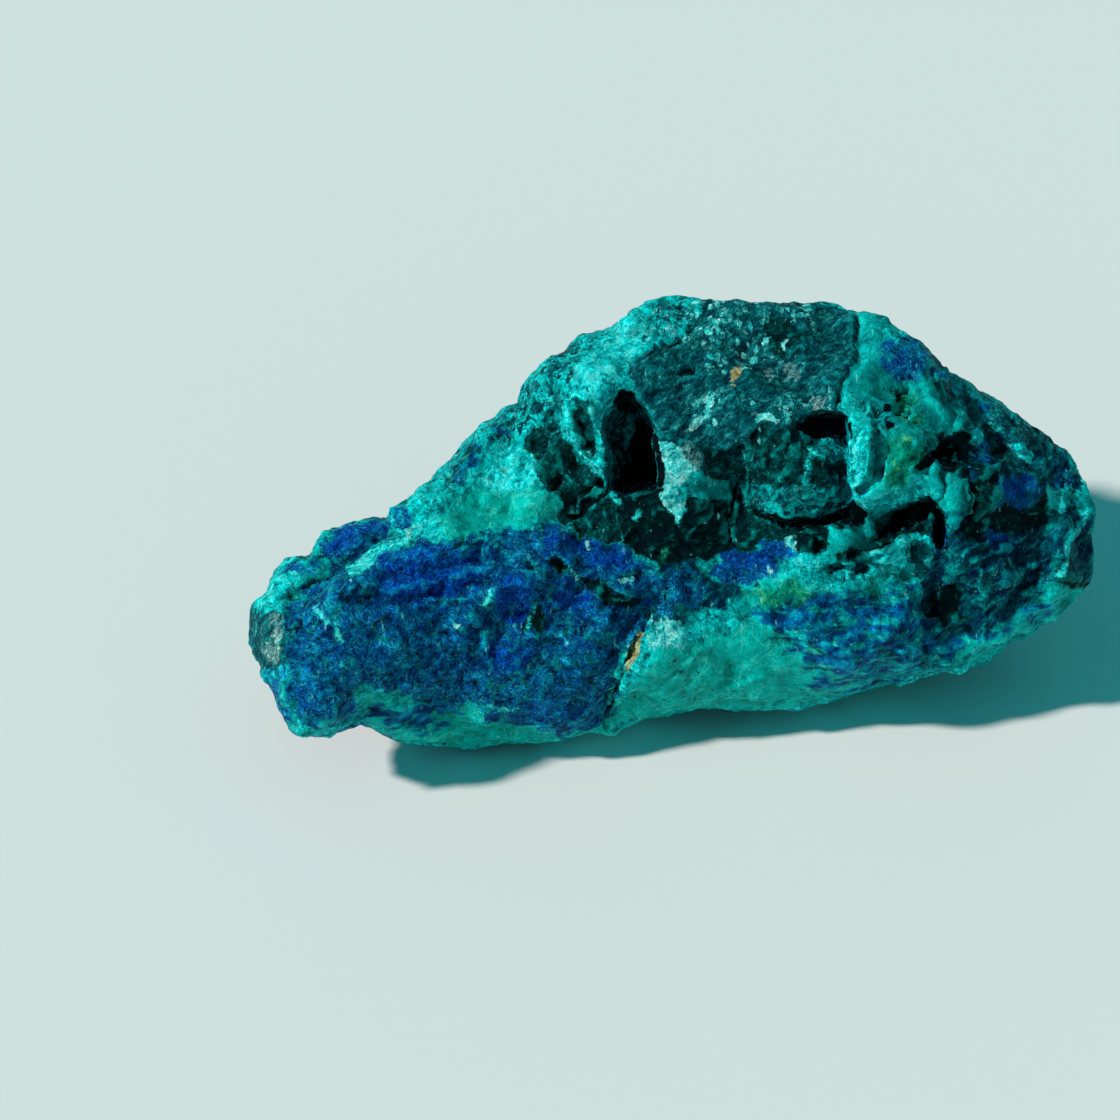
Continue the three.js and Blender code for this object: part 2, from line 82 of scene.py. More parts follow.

# ---- Mineral zones and painted shade of the broad face, as outlines in frame pixels ----
# Each outline lists the x and y of its corners. Azurite and vivid are blue, mottled and streaked are blue and
# turquoise, and slab, speckled and mossy are dark, with painted shade in some folds of the slab zone. The
# dark zone is dark ground with painted shade in folds, cracks and holes, and the black zone is painted shadow
# in the deepest places. Fresh, flecked, pale and tufts are bright breaks. Green, smooth and faceted are kinds
# of turquoise. Yellow, ochre and tan are stains.
ZONES = {
    "azurite": [
        # the big lobe
        [285, 607, 305, 594, 318, 579, 336, 569, 366, 569, 388, 550, 430, 540, 470, 534, 540, 530, 590, 534,
         632, 552, 655, 575, 660, 600, 648, 625, 628, 650, 604, 690, 560, 724, 500, 728, 470, 706, 440, 716,
         400, 690, 366, 686, 350, 712, 330, 722, 300, 722, 288, 690],
        # the upper lump and specks of the left end
        [317, 547, 335, 528, 370, 517, 388, 519, 390, 532, 366, 552, 344, 567, 326, 566],
        [392, 522, 398, 508, 410, 506, 412, 522, 400, 534],
        [280, 575, 284, 562, 300, 556, 303, 570, 292, 578],
        # the band right of the valley, then the valley's head and foot
        [708, 577, 724, 553, 755, 545, 784, 540, 792, 548, 776, 566, 750, 580, 734, 584],
        [640, 575, 690, 570, 712, 582, 700, 606, 668, 616, 650, 604],
        [548, 714, 580, 700, 612, 694, 618, 712, 590, 730, 556, 738],
        # the right end
        [880, 352, 896, 338, 912, 344, 924, 350, 932, 364, 920, 379, 900, 382, 884, 372],
        [974, 452, 980, 436, 990, 440, 1000, 450, 992, 466, 978, 464],
        [984, 546, 990, 535, 1006, 534, 1006, 545], [1054, 476, 1066, 472, 1070, 486, 1058, 490],
    ],
    "vivid": [
        [378, 560, 404, 546, 450, 548, 486, 556, 486, 590, 452, 598, 420, 606, 396, 602, 378, 584],
        [492, 586, 512, 574, 536, 576, 540, 596, 526, 626, 506, 622, 496, 606],
        [554, 576, 580, 580, 594, 602, 586, 616, 566, 614, 556, 598],
        [486, 642, 500, 640, 524, 652, 530, 666, 514, 676, 496, 666],
        [540, 532, 586, 536, 628, 556, 640, 570, 612, 576, 575, 556, 544, 552],
        [712, 574, 726, 554, 755, 546, 784, 541, 790, 549, 774, 564, 740, 574],
        [320, 548, 336, 530, 366, 520, 374, 530, 350, 544, 330, 558],
        [986, 544, 992, 534, 1010, 534, 1008, 545], [998, 480, 1022, 474, 1036, 486, 1028, 502, 1004, 506],
    ],
    "mottled": [
        # the flank below the ledge
        [745, 606, 762, 590, 800, 582, 870, 588, 930, 575, 952, 560, 1000, 560, 1050, 540, 1062, 580,
         1010, 620, 962, 658, 905, 682, 858, 698, 814, 690, 800, 656, 766, 636],
        [975, 470, 1030, 462, 1075, 480, 1080, 520, 1050, 545, 1000, 560, 960, 560],
        [283, 575, 318, 552, 330, 566, 300, 590],
        [256, 668, 288, 660, 290, 690, 306, 732, 280, 734, 256, 700],
        [445, 470, 478, 436, 505, 418, 508, 440, 480, 470, 450, 490],
        [905, 335, 940, 362, 1010, 412, 1000, 430, 950, 400, 915, 370],
        [560, 690, 604, 676, 630, 690, 612, 722, 560, 732],
        [284, 690, 350, 700, 420, 700, 470, 716, 440, 736, 300, 730],
        [980, 600, 1040, 600, 1080, 590, 1060, 622, 1000, 644, 960, 652],
    ],
    "streaked": [
        [962, 478, 972, 440, 1000, 430, 1040, 436, 1062, 450, 1080, 480, 1070, 508, 1067, 545, 1060, 580,
         1044, 594, 1010, 620, 975, 640, 930, 640, 920, 600, 922, 560, 944, 530, 950, 520, 968, 512,
         972, 490],
        [1090, 500, 1100, 515, 1100, 572, 1084, 590, 1062, 588, 1066, 562, 1076, 530],
        # round the valley's head
        [640, 578, 665, 560, 700, 560, 716, 584, 742, 584, 752, 594, 735, 602, 700, 612, 690, 624, 665, 632,
         648, 630, 655, 610],
    ],
    "mossy": [
        # lumps left of the pocket, and the gap between its crests
        [522, 446, 532, 432, 548, 422, 562, 428, 572, 446, 584, 462, 598, 472, 612, 487, 616, 520, 624, 546,
         598, 540, 574, 530, 566, 505, 548, 486, 536, 470],
        [573, 400, 588, 398, 596, 430, 600, 450, 588, 456, 577, 440],
        # the lump under the slab, and the ground under the long crack
        [744, 500, 770, 514, 800, 528, 800, 548, 784, 540, 755, 545, 742, 552],
        [744, 440, 762, 428, 800, 426, 812, 442, 810, 470, 804, 486, 750, 486, 742, 470],
        [812, 460, 848, 464, 846, 486, 812, 486], [704, 452, 745, 448, 748, 480, 704, 474],
        # a dark place in the slab
        [764, 324, 776, 314, 790, 318, 802, 332, 798, 352, 782, 358, 768, 348],
        [890, 516, 926, 496, 942, 506, 948, 530, 946, 552, 934, 545, 905, 531, 876, 545],
    ],
    "dark_ground_and_shade": [
        # dark ground here and below the pocket; the folds, cracks, hole and notch further down are painted
        # shade
        [1040, 470, 1052, 500, 1048, 526, 1034, 530, 1036, 507, 1044, 490],
        # the ground below the pocket
        [612, 478, 640, 480, 664, 484, 679, 526, 688, 500, 702, 498, 728, 500, 738, 480, 744, 505, 750, 545,
         720, 556, 690, 560, 666, 566, 645, 556, 624, 546, 616, 520],
        # painted shade in the folds of the lobe
        [546, 560, 560, 558, 573, 569, 571, 577, 552, 573],
        [582, 576, 600, 581, 616, 591, 638, 597, 642, 608, 622, 608, 604, 602, 592, 592],
        [520, 628, 530, 612, 542, 606, 548, 622, 540, 634],
        # painted shade round the long crack and the block
        [770, 512, 790, 518, 826, 516, 846, 502, 864, 514, 862, 524, 800, 531],
        [796, 527, 828, 523, 829, 552, 814, 555, 796, 551],
        [850, 548, 862, 546, 858, 558, 840, 562, 834, 556], [746, 448, 750, 434, 762, 428, 756, 450],
        # painted shade in the hole, cracks and notch of the right end
        [912, 455, 926, 442, 940, 432, 965, 428, 975, 440, 973, 466, 950, 470, 934, 460, 920, 472],
        [972, 480, 996, 482, 998, 506, 1036, 507, 1034, 530, 985, 533, 968, 538, 958, 532, 968, 512],
        [922, 618, 930, 606, 927, 596, 938, 588, 942, 576, 950, 571, 953, 586, 962, 594, 958, 606, 968, 618,
         950, 619, 944, 630, 934, 622],
        [1056, 564, 1065, 568, 1074, 578, 1088, 585, 1080, 590, 1066, 588, 1056, 580],
        [972, 468, 1000, 466, 998, 484, 976, 482],
    ],
    "painted_shadow": [
        # painted shadow in the deep places: the pocket
        [641, 412, 651, 424, 659, 440, 665, 462, 666, 488, 640, 492, 620, 488, 622, 466, 630, 460, 630, 444,
         634, 428],
        [614, 404, 622, 390, 634, 392, 642, 406, 634, 414, 620, 412],
        # painted shadow over and under the lump
        [797, 424, 812, 418, 851, 420, 851, 438, 828, 438, 812, 440, 804, 430],
        [752, 506, 775, 515, 795, 520, 825, 518, 845, 508, 852, 500, 868, 515, 862, 520, 845, 522, 825, 524,
         800, 530, 785, 527, 765, 517],
        [868, 544, 884, 528, 896, 514, 910, 508, 906, 526, 886, 538],
        [924, 496, 938, 502, 947, 525, 946, 550, 940, 546, 936, 522],
        [572, 517, 592, 501, 612, 487, 614, 491, 598, 505, 574, 520],
        # painted shadow in pits of the shoulder and the slab
        [882, 404, 889, 404, 890, 412, 883, 413], [885, 421, 892, 420, 892, 428, 886, 429],
        [896, 396, 902, 395, 903, 402, 897, 403], [686, 368, 694, 366, 695, 376, 687, 377],
        # painted shadow in the hole in the shoulder
        [940, 438, 965, 432, 972, 446, 970, 462, 960, 462, 950, 446, 938, 452],
        [916, 466, 928, 450, 936, 462, 924, 470],
        # painted shadow in the notch in the flank
        [930, 614, 935, 600, 944, 586, 949, 580, 954, 596, 960, 610, 948, 612, 940, 624],
    ],
    "speckled": [
        [604, 422, 612, 404, 618, 386, 634, 388, 646, 404, 632, 430, 628, 460, 618, 486, 612, 486, 605, 442],
        [505, 408, 520, 386, 532, 366, 560, 346, 600, 334, 604, 346, 578, 366, 572, 400, 556, 432, 530, 436,
         500, 440],
        [428, 486, 474, 434, 504, 410, 514, 424, 480, 456, 444, 490],
        [646, 346, 640, 330, 650, 304, 702, 298, 696, 324, 680, 338, 660, 350],
        [1010, 408, 1060, 440, 1090, 488, 1075, 500, 1040, 462, 1005, 432],
        [896, 398, 914, 396, 916, 424, 898, 428],
        [748, 486, 846, 484, 846, 500, 820, 516, 790, 514, 755, 504],
        [812, 438, 850, 436, 850, 464, 830, 466, 816, 458],
        [866, 404, 888, 400, 884, 440, 874, 460, 866, 440],
    ],
    "slab_and_fold_shade": [
        [627, 357, 660, 350, 682, 337, 695, 327, 700, 298, 740, 294, 790, 296, 852, 310, 857, 330, 856, 362,
         843, 380, 838, 412, 806, 424, 775, 434, 748, 448, 744, 474, 700, 476, 654, 450, 644, 436, 634, 412,
         628, 388],
        # the left end's narrow face
        [244, 610, 284, 614, 288, 650, 286, 662, 262, 672, 240, 650],
        # painted shade in the folds of the shoulder
        [1014, 426, 1040, 426, 1062, 444, 1050, 456, 1030, 448],
        [933, 372, 944, 376, 953, 392, 956, 412, 944, 404, 936, 388],
        [962, 384, 974, 396, 978, 430, 964, 424], [984, 408, 1004, 416, 1024, 432, 1010, 440, 994, 430],
        [978, 405, 990, 425, 1000, 444, 1020, 455, 1034, 470, 1020, 474, 1000, 462, 988, 446, 980, 428],
        # painted shade beside and under the ledge
        [908, 542, 930, 546, 932, 572, 912, 576], [832, 568, 852, 564, 872, 568, 868, 577, 842, 577],
    ],
    "flecked": [
        [690, 300, 814, 300, 814, 324, 776, 372, 730, 378, 700, 362, 688, 330],
        [640, 316, 662, 302, 700, 298, 698, 326, 682, 338, 660, 346, 642, 346],
        [690, 395, 722, 390, 724, 430, 692, 436],
        [776, 392, 832, 396, 834, 416, 780, 422, 748, 428, 748, 412],
    ],
    "fresh": [
        # the slope
        [566, 400, 574, 372, 596, 344, 618, 322, 640, 310, 644, 330, 640, 350, 628, 356, 628, 372, 634, 386,
         616, 388, 604, 404, 580, 400],
        [482, 486, 490, 460, 510, 446, 530, 452, 540, 476, 530, 488, 500, 494],
        [388, 548, 398, 534, 420, 524, 440, 516, 444, 528, 412, 540],
        # the left end
        [256, 606, 272, 584, 290, 572, 300, 576, 290, 592, 276, 604],
        [346, 570, 360, 556, 386, 543, 388, 550, 366, 570, 350, 577],
        # pale strokes of the lobe
        [318, 606, 332, 620, 346, 640, 344, 643, 329, 624, 316, 609],
        [340, 664, 352, 668, 362, 686, 359, 688, 350, 672, 340, 668],
        [488, 704, 505, 708, 520, 704, 520, 708, 505, 712, 488, 708],
        [478, 612, 484, 598, 494, 588, 496, 590, 487, 601, 481, 613],
        [514, 606, 516, 622, 520, 634, 517, 634, 513, 622, 511, 607],
        [534, 606, 528, 618, 524, 632, 527, 632, 531, 619, 537, 607],
        [528, 552, 533, 560, 538, 570, 535, 571, 530, 561, 526, 554],
        # two crests left of the pocket, and crumbs below it
        [564, 406, 571, 410, 573, 428, 584, 440, 594, 458, 618, 462, 606, 466, 590, 465, 578, 448, 568, 432],
        [587, 408, 601, 410, 605, 436, 606, 450, 602, 448, 599, 432, 593, 420],
        [609, 490, 615, 490, 624, 502, 618, 507, 611, 500], [630, 521, 636, 508, 641, 508, 637, 520],
        # the lump under the slab
        [801, 427, 805, 430, 809, 446, 820, 458, 812, 458, 804, 446],
        [806, 460, 810, 462, 808, 476, 804, 476],
        # the blade, the lip, the cube and the ledge
        [851, 486, 852, 450, 856, 426, 860, 444, 863, 466, 857, 482],
        [851, 492, 866, 490, 886, 494, 884, 503, 868, 510],
        [856, 560, 876, 548, 902, 534, 908, 540, 906, 570, 886, 572, 872, 562],
        [862, 576, 870, 575, 870, 585, 862, 586],
        # the right end
        [968, 444, 974, 430, 984, 428, 980, 442], [1010, 446, 1022, 443, 1035, 453, 1030, 460, 1018, 457],
        [1048, 484, 1056, 490, 1070, 486, 1072, 504, 1060, 512, 1050, 508],
        [1073, 458, 1080, 460, 1088, 484, 1082, 486],
        [1081, 508, 1087, 508, 1077, 534, 1062, 576, 1057, 576, 1068, 542],
    ],
    "pale": [
        # the flap
        [652, 442, 655, 455, 656, 488, 680, 491, 684, 480, 697, 470, 696, 462, 686, 462, 680, 448, 666, 440],
        [658, 499, 665, 491, 676, 493, 685, 501, 683, 512, 679, 524, 668, 512],
        [642, 406, 648, 418, 656, 434, 652, 434, 643, 418],
        # bright crumbs
        [782, 536, 794, 535, 794, 545, 783, 546], [951, 447, 960, 447, 959, 459, 952, 459],
        [403, 529, 412, 527, 412, 536, 404, 537], [584, 541, 588, 540, 590, 549, 587, 553],
        [569, 567, 574, 569, 581, 580, 576, 580], [614, 578, 634, 578, 635, 583, 622, 583],
        [452, 624, 460, 623, 460, 628, 453, 628],
        # crumbs of the slab
        [705, 397, 714, 396, 717, 404, 712, 410, 708, 404],
        [692, 427, 700, 418, 709, 412, 711, 415, 702, 422, 697, 431, 693, 432],
        [783, 349, 788, 338, 790, 340, 786, 352],
        [752, 418, 764, 414, 774, 418, 786, 420, 776, 425, 766, 421, 758, 424],
        [708, 477, 714, 477, 714, 486, 709, 485],
    ],
    "tufts": [
        [643, 640, 650, 626, 667, 616, 683, 623, 688, 640, 668, 650, 648, 652],
    ],
    "smooth": [
        [858, 312, 884, 320, 886, 340, 858, 350],
        [846, 356, 884, 348, 930, 356, 962, 384, 966, 424, 930, 440, 880, 430, 866, 404, 844, 408],
        [866, 404, 890, 412, 884, 450, 876, 484, 862, 486, 872, 460],
        [828, 524, 856, 524, 912, 530, 910, 572, 856, 566, 828, 552],
        [988, 470, 1046, 474, 1050, 530, 960, 540, 966, 500],
        # the foot of the lump under the slab, and the ground left of it
        [750, 486, 846, 484, 846, 505, 800, 516, 765, 508],
        [692, 480, 712, 474, 748, 472, 750, 498, 700, 498],
        [1086, 500, 1100, 500, 1100, 590, 1060, 600, 1062, 560],
        [930, 480, 948, 466, 964, 466, 971, 490, 967, 512, 948, 528, 940, 508],
    ],
    "faceted": [
        [884, 330, 930, 350, 1000, 400, 1060, 440, 1100, 500, 1100, 580, 1060, 604, 960, 600, 920, 560,
         940, 500, 930, 450, 900, 420, 880, 380],
    ],
    "green": [
        [612, 722, 628, 690, 652, 650, 700, 638, 760, 622, 830, 652, 872, 688, 800, 706, 700, 713, 640, 722],
        [735, 590, 760, 580, 810, 580, 812, 606, 770, 616, 742, 612],
        [875, 492, 880, 474, 888, 456, 890, 434, 910, 430, 932, 450, 925, 462, 912, 474, 900, 484, 890, 493],
        [430, 530, 444, 506, 480, 492, 540, 488, 566, 500, 556, 522, 500, 532, 450, 538],
        [360, 700, 400, 690, 420, 700, 470, 716, 560, 722, 620, 700, 600, 738, 440, 750, 366, 724],
        [576, 384, 582, 362, 596, 360, 596, 382], [330, 618, 346, 612, 352, 646, 338, 650],
        [350, 664, 362, 660, 366, 694, 352, 696], [896, 398, 914, 396, 916, 424, 898, 428],
        [658, 549, 690, 548, 686, 558, 662, 560],
        [950, 654, 985, 630, 1020, 608, 1050, 594, 1078, 584, 1086, 592, 1062, 620, 1000, 646, 958, 664],
    ],
    "yellow": [
        [742, 592, 768, 584, 800, 582, 826, 590, 812, 603, 782, 606, 754, 608],
        [872, 576, 880, 576, 880, 590, 872, 590],
        # the block and the crumbs over it
        [890, 440, 912, 434, 928, 452, 918, 470, 900, 482, 884, 482],
        [892, 396, 916, 394, 918, 426, 896, 430], [661, 551, 670, 550, 669, 558, 662, 560],
    ],
    "ochre": [
        [732, 368, 740, 366, 742, 376, 736, 380, 732, 388, 730, 382],
        [638, 630, 643, 634, 640, 650, 632, 664, 626, 672, 625, 666, 630, 648],
    ],
    "tan": [
        [784, 361, 800, 364, 800, 382, 784, 380], [808, 398, 826, 396, 828, 412, 812, 416],
        [683, 440, 699, 442, 702, 460, 694, 474, 686, 464],
        [268, 613, 283, 616, 285, 646, 278, 664, 262, 658, 258, 646, 270, 640],
        [763, 365, 776, 366, 776, 379, 764, 378], [748, 413, 760, 411, 758, 419, 750, 420],
    ],
}
# How soft each zone's border is (mm), the share of the surface's wandering it follows, and where the zone
# lies away from the broad face: a pattern, and its values at the zone's edge and well inside it.
TRAITS = {
    "azurite": (1.4, 1.0, "broad", 0.05, 0.45),
    "vivid": (1.6, 1.0, "broad", 0.4, 0.8),
    "mottled": (2.4, 1.0, "broad", -0.2, 0.2),
    "streaked": (1.6, 1.0, "other", 0.0, 0.3),
    "mossy": (1.0, 0.7, "other", 0.1, 0.4),
    "dark_ground_and_shade": (0.8, 0.6, "other", 0.4, 0.7),
    "painted_shadow": (0.4, 0.4, "other", 0.9, 1.2),
    "speckled": (0.7, 1.0, "broad", 0.0, -0.4),
    "slab_and_fold_shade": (0.6, 0.9, "other", -0.25, -0.5),
    "flecked": (1.4, 1.0, "other", -0.4, -0.6),
    "fresh": (0.8, 0.5, "broad", -0.4, -0.7),
    "pale": (0.4, 0.4, "broad", -0.8, -1.0),
    "tufts": (1.0, 1.0, "soft", -0.7, -0.9),
    "smooth": (1.6, 1.0, "soft", -0.1, -0.4),
    "faceted": (2.0, 1.0, "other", -0.1, 0.2),
    "green": (2.0, 1.0, "soft", 0.0, 0.5),
    "yellow": (1.2, 1.0, "soft", 0.8, 1.0),
    "ochre": (0.4, 0.3, "spots", 0.85, 0.95),
    "tan": (0.8, 0.5, "spots", 0.65, 0.85),
}
WANDER = 9  # pixels that places on the surface wander by
WANDER_WAVE = 1.5 * MM
# How far a surface is turned to the camera, from -1 to 1, where the broad face's forms begin to show and show
# fully, and the same for the knobs and dents of the outline.
FACE_SHOWS = (0.02, 0.3)
OUTLINE_SHOWS = (-0.8, -0.4)

# ---- Small forms of the broad face ----
LINES_FOLLOW = 0.35  # the share of the wandering that lines and pits follow
PITS_FOLLOW = 0.8

# Thin lines: frame pixels, width and rise in millimetres (cracks are negative).
LINES = [
    # the pocket: the crests left of it, the ridge in it and its lip
    ([566, 408, 569, 426, 576, 444, 586, 456, 595, 465, 616, 463], 0.4, 0.3),
    ([588, 408, 596, 424, 602, 442, 608, 460], 0.4, 0.2),
    ([638, 414, 629, 430, 625, 445, 627, 460], 0.28, 0.9),
    ([642, 404, 648, 418, 656, 434, 662, 452], 0.25, 0.4),
    # the cracks below the pocket, under the lump and left of the pocket
    ([733, 476, 731, 500, 732, 542], 0.13, -0.8), ([737, 500, 752, 508, 768, 515, 790, 524], 0.2, -0.4),
    ([566, 516, 590, 502, 612, 486], 0.25, -0.8),
    # the lobe's step and brow, then its dish's rims and folds
    ([345, 597, 380, 600, 430, 594, 470, 586, 512, 570], 0.45, -0.45),
    ([360, 584, 400, 588, 440, 582, 490, 568], 0.6, 0.4),
    ([468, 574, 520, 570, 562, 584, 600, 612, 628, 648], 0.35, 0.22),
    ([474, 616, 484, 632, 490, 662], 0.5, 0.45), ([508, 590, 520, 620, 530, 660], 0.8, -0.15),
    ([560, 600, 548, 630, 552, 668], 0.8, -0.15),
    # the valley's floor and its crack
    ([640, 640, 628, 670, 618, 692, 606, 722], 0.9, 0.7),
    ([646, 616, 634, 648, 624, 672, 614, 692, 602, 722], 0.18, -0.6),
    # the left end's groove and edge, and the right end's edge
    ([284, 598, 308, 588, 328, 574, 348, 560, 382, 536], 0.3, -0.4),
    ([284, 600, 285, 640, 291, 702], 0.35, 0.4), ([1083, 516, 1074, 530, 1066, 548, 1057, 576], 0.28, 0.3),
    # the lump under the slab
    ([801, 427, 806, 446, 816, 456, 823, 461], 0.24, 0.3), ([812, 458, 806, 476], 0.24, 0.25),
    ([768, 436, 776, 452, 782, 462], 0.25, 0.2),
    # the cracks left of the block and under the ledge
    ([887, 430, 882, 458, 874, 482, 860, 490], 0.2, -0.3), ([852, 556, 880, 570, 912, 578], 0.3, -0.6),
    # the shoulder
    ([950, 384, 968, 408, 984, 428, 998, 446, 1014, 458], 0.4, -0.5),
    ([935, 372, 942, 398, 958, 414], 0.4, -0.5), ([922, 374, 930, 400, 944, 420], 0.3, 0.4),
    ([946, 372, 958, 392, 964, 414, 958, 426], 0.25, 0.4),
    # the block
    ([894, 428, 912, 434, 936, 444], 0.3, 0.35), ([912, 434, 916, 456, 908, 478], 0.3, 0.35),
    # threads right of the block, and the edge of the tongue
    ([964, 480, 984, 478, 1002, 464], 0.22, 0.4), ([996, 482, 988, 502, 974, 518], 0.22, 0.3),
    ([972, 486, 967, 512, 950, 528], 0.22, 0.45),
    # the steps at the right and the left of the slab
    ([857, 318, 857, 360, 843, 378, 839, 412], 0.25, -0.5),
    ([627, 357, 660, 351, 684, 338, 696, 326], 0.22, -0.35),
    # both sides of the tongue, and the notch
    ([944, 470, 942, 500, 950, 526], 0.25, -0.6), ([968, 470, 978, 492, 973, 516, 956, 532], 0.25, -0.6),
    ([944, 582, 934, 600, 930, 624], 0.25, -0.3),
    # streaks of the right end
    ([974, 562, 1000, 550, 1024, 534], 0.25, 0.35), ([1000, 580, 1030, 564, 1060, 552], 0.25, 0.4),
    ([1022, 596, 1050, 582, 1066, 576], 0.25, 0.35), ([1024, 513, 1044, 512, 1064, 515], 0.22, 0.2),
    ([982, 530, 990, 505, 998, 480], 0.25, 0.35), ([984, 640, 984, 600, 980, 566], 0.2, 0.3),
    ([948, 580, 962, 556, 986, 540], 0.22, 0.35),
    # the belly
    ([672, 682, 700, 650, 716, 640], 0.2, 0.16), ([706, 700, 730, 684, 764, 676], 0.2, 0.16),
    ([742, 614, 770, 640, 800, 650, 816, 668], 0.4, -0.25),
]

# Round pits: frame pixels, then radius in pixels and depth in millimetres (knobs are negative).
PITS = [
    # the shoulder and the cap
    (881, 408, 5, 0.9), (907, 418, 4, 0.7), (902, 392, 5, 0.6), (897, 412, 4, 0.6), (884, 336, 5, 0.3),
    # under, beside and in the ledge
    (840, 571, 9, 0.8), (862, 572, 8, 0.8), (820, 545, 7, 0.9), (876, 558, 4, 0.4),
    # knobs: the cube, a bright crumb and a chip
    (842, 538, 12, -0.5), (788, 541, 6, -0.3), (868, 526, 9, -0.3),
    # the dark lumps left of the pocket, the slab, and the lobe
    (560, 478, 8, 0.9), (578, 502, 7, 0.8), (687, 372, 5, 0.4), (560, 566, 8, 0.4), (612, 598, 10, 0.4),
]

# Hollows filled up to a height over the aiming point: outline in frame pixels, height in millimetres.
FILLS = [
    # over and right of the blade
    ([868, 394, 896, 398, 894, 426, 876, 428], 8.5),
    ([874, 418, 894, 422, 892, 482, 876, 494, 860, 494, 874, 470], 9.1),
    # left and right of the crack beside the lump
    ([726, 444, 754, 444, 752, 470, 736, 466], 7.9), ([736, 466, 754, 470, 752, 506, 737, 512], 7.5),
    # between the pocket's crests, and the notch
    ([570, 406, 592, 410, 604, 452, 590, 464, 574, 442], 6.9),
    ([928, 584, 962, 580, 968, 622, 928, 626], 4.5),
]
FILL_SOFTNESS = 0.7

# Knobs and dents of the outline: frame pixels, then radius in pixels and rise in millimetres.
EDGES = [
    # the slope
    (420, 489, 10, 0.4), (450, 453, 11, -0.25), (513, 398, 12, -0.6), (492, 413, 12, -0.3),
    (562, 346, 12, -0.5), (608, 322, 18, -0.5),
    # the slab and the shoulder
    (755, 297, 12, -0.35), (816, 304, 9, 0.25), (902, 327, 18, -0.4), (953, 366, 12, -0.35),
    (982, 388, 12, -0.3),
    # the right end
    (1088, 483, 12, 0.6), (1090, 511, 13, 0.5), (1088, 531, 9, 0.4), (1070, 610, 14, -0.45),
    (1042, 626, 12, -0.5),
    # the left end
    (262, 589, 16, -0.45), (260, 661, 12, -0.35), (271, 694, 12, -0.35), (298, 730, 10, 0.4),
    (303, 550, 8, -0.35),
    # the feet of the belly and the flank, and the upper lump of the left end
    (816, 709, 13, -0.4), (940, 678, 15, -0.35), (324, 536, 9, 0.35), (383, 514, 6, -0.5),
]

# ---- The ground ----
LUMP_RISE = 0.16  # rolling lumps everywhere, and more of them in the mossy ground, in millimetres
LUMP_WAVE = 3.2 * MM
MOSSY_RISE = 0.3
MOSSY_WAVE = 1.8 * MM
BREAK_WAVE = 2.6 * MM
GRAIN_WAVE = 0.55 * MM
CREASE_WAVE = 1.9 * MM
CREASE_STARTS = 0.82  # height on the crease pattern, 1 at most, over which the ground is creased
BEND = 0.4 * MM  # how far breaks and creases are bent out of their regular patterns
BEND_WAVE = 1.6 * MM

# Roughness of each kind of ground: small flat breaks, grain and fine creases, in millimetres.
PLAIN_GROUND = (0.3, 0.1, 0.05)
GROUNDS = {
    "azurite": (0.22, 0.1, 0.05),
    "slab_and_fold_shade": (0.16, 0.09, 0.05),
    "faceted": (0.42, 0.05, 0.08),
    "smooth": (0.28, 0.0, 0.04),
    "green": (0.12, 0.02, 0.04),
    "mossy": (0.5, 0.12, 0.1),
    "dark_ground_and_shade": (0.45, 0.1, 0.1),
    "speckled": (0.36, 0.15, 0.06),
}


# ---- Small helpers ----
def smoothstep(low, high, x):
    t = np.clip((x - low) / (high - low), 0, 1)
    return t * t * (3 - 2 * t)


def seen(points):
    """Frame pixels (x to the right, y down) at which the camera sees each point."""
    offset = points - AIM
    shrink = 1 - (offset @ TOWARDS_CAMERA) / CAMERA_DISTANCE
    scale = PIXELS_PER_MM / MM
    x = FRAME_PIXELS / 2 + scale * offset[:, 0] / shrink
    y = FRAME_PIXELS / 2 - scale * (offset @ UP_IN_FRAME) / shrink
    return np.stack([x, y], axis=1)


def corners(numbers):
    """One row for each point of a line or outline, which is listed as x, y, x, y and so on."""
    return np.reshape(numbers, (-1, 2)).astype(float)


def distance_to_line(place, line):
    """Distance in millimetres from places in the frame to a line of pixels."""
    least = np.full(len(place), np.inf)
    for start, end in zip(line[:-1], line[1:]):
        along = end - start
        t = np.clip((place - start) @ along / (along @ along), 0, 1)
        gap = place - (start + t[:, None] * along)
        least = np.minimum(least, np.hypot(gap[:, 0], gap[:, 1]))
    return least / PIXELS_PER_MM


def depth_inside(place, outline):
    """Millimetres from places in the frame to an outline, positive inside it."""
    closed = np.vstack([outline, outline[:1]])
    inside = np.zeros(len(place), bool)
    for (x0, y0), (x1, y1) in zip(closed[:-1], closed[1:]):
        if y0 != y1:
            crosses = (y0 > place[:, 1]) != (y1 > place[:, 1])
            inside ^= crosses & (place[:, 0] < x0 + (place[:, 1] - y0) * (x1 - x0) / (y1 - y0))
    distance = distance_to_line(place, closed)
    return np.where(inside, distance, -distance)


def close_to(place, line, reach):
    """Which places lie in the box round a line of pixels, widened by reach (mm)."""
    low = np.min(line, axis=0) - reach * PIXELS_PER_MM
    high = np.max(line, axis=0) + reach * PIXELS_PER_MM
    return np.all((place > low) & (place < high), axis=1)


# ---- Three-dimensional noise ----
LAST_32_BITS = 0xFFFFFFFF
TO_FULL_RANGE = 1.6  # what brings the sum of the slopes to about -1 to 1


def scramble(i, j, k, salt):
    """A repeatable number from 0 to 1 for each whole-numbered cell."""
    # Large odd factors and shifts spread the numbers of nearby cells far apart.
    h = (i * 374761393 + j * 668265263 + k * 1274126177 + salt * 974711) & LAST_32_BITS
    h = ((h ^ (h >> 13)) * 1103515245) & LAST_32_BITS
    h = ((h ^ (h >> 16)) * 2246822519) & LAST_32_BITS
    return (h ^ (h >> 15)) / LAST_32_BITS


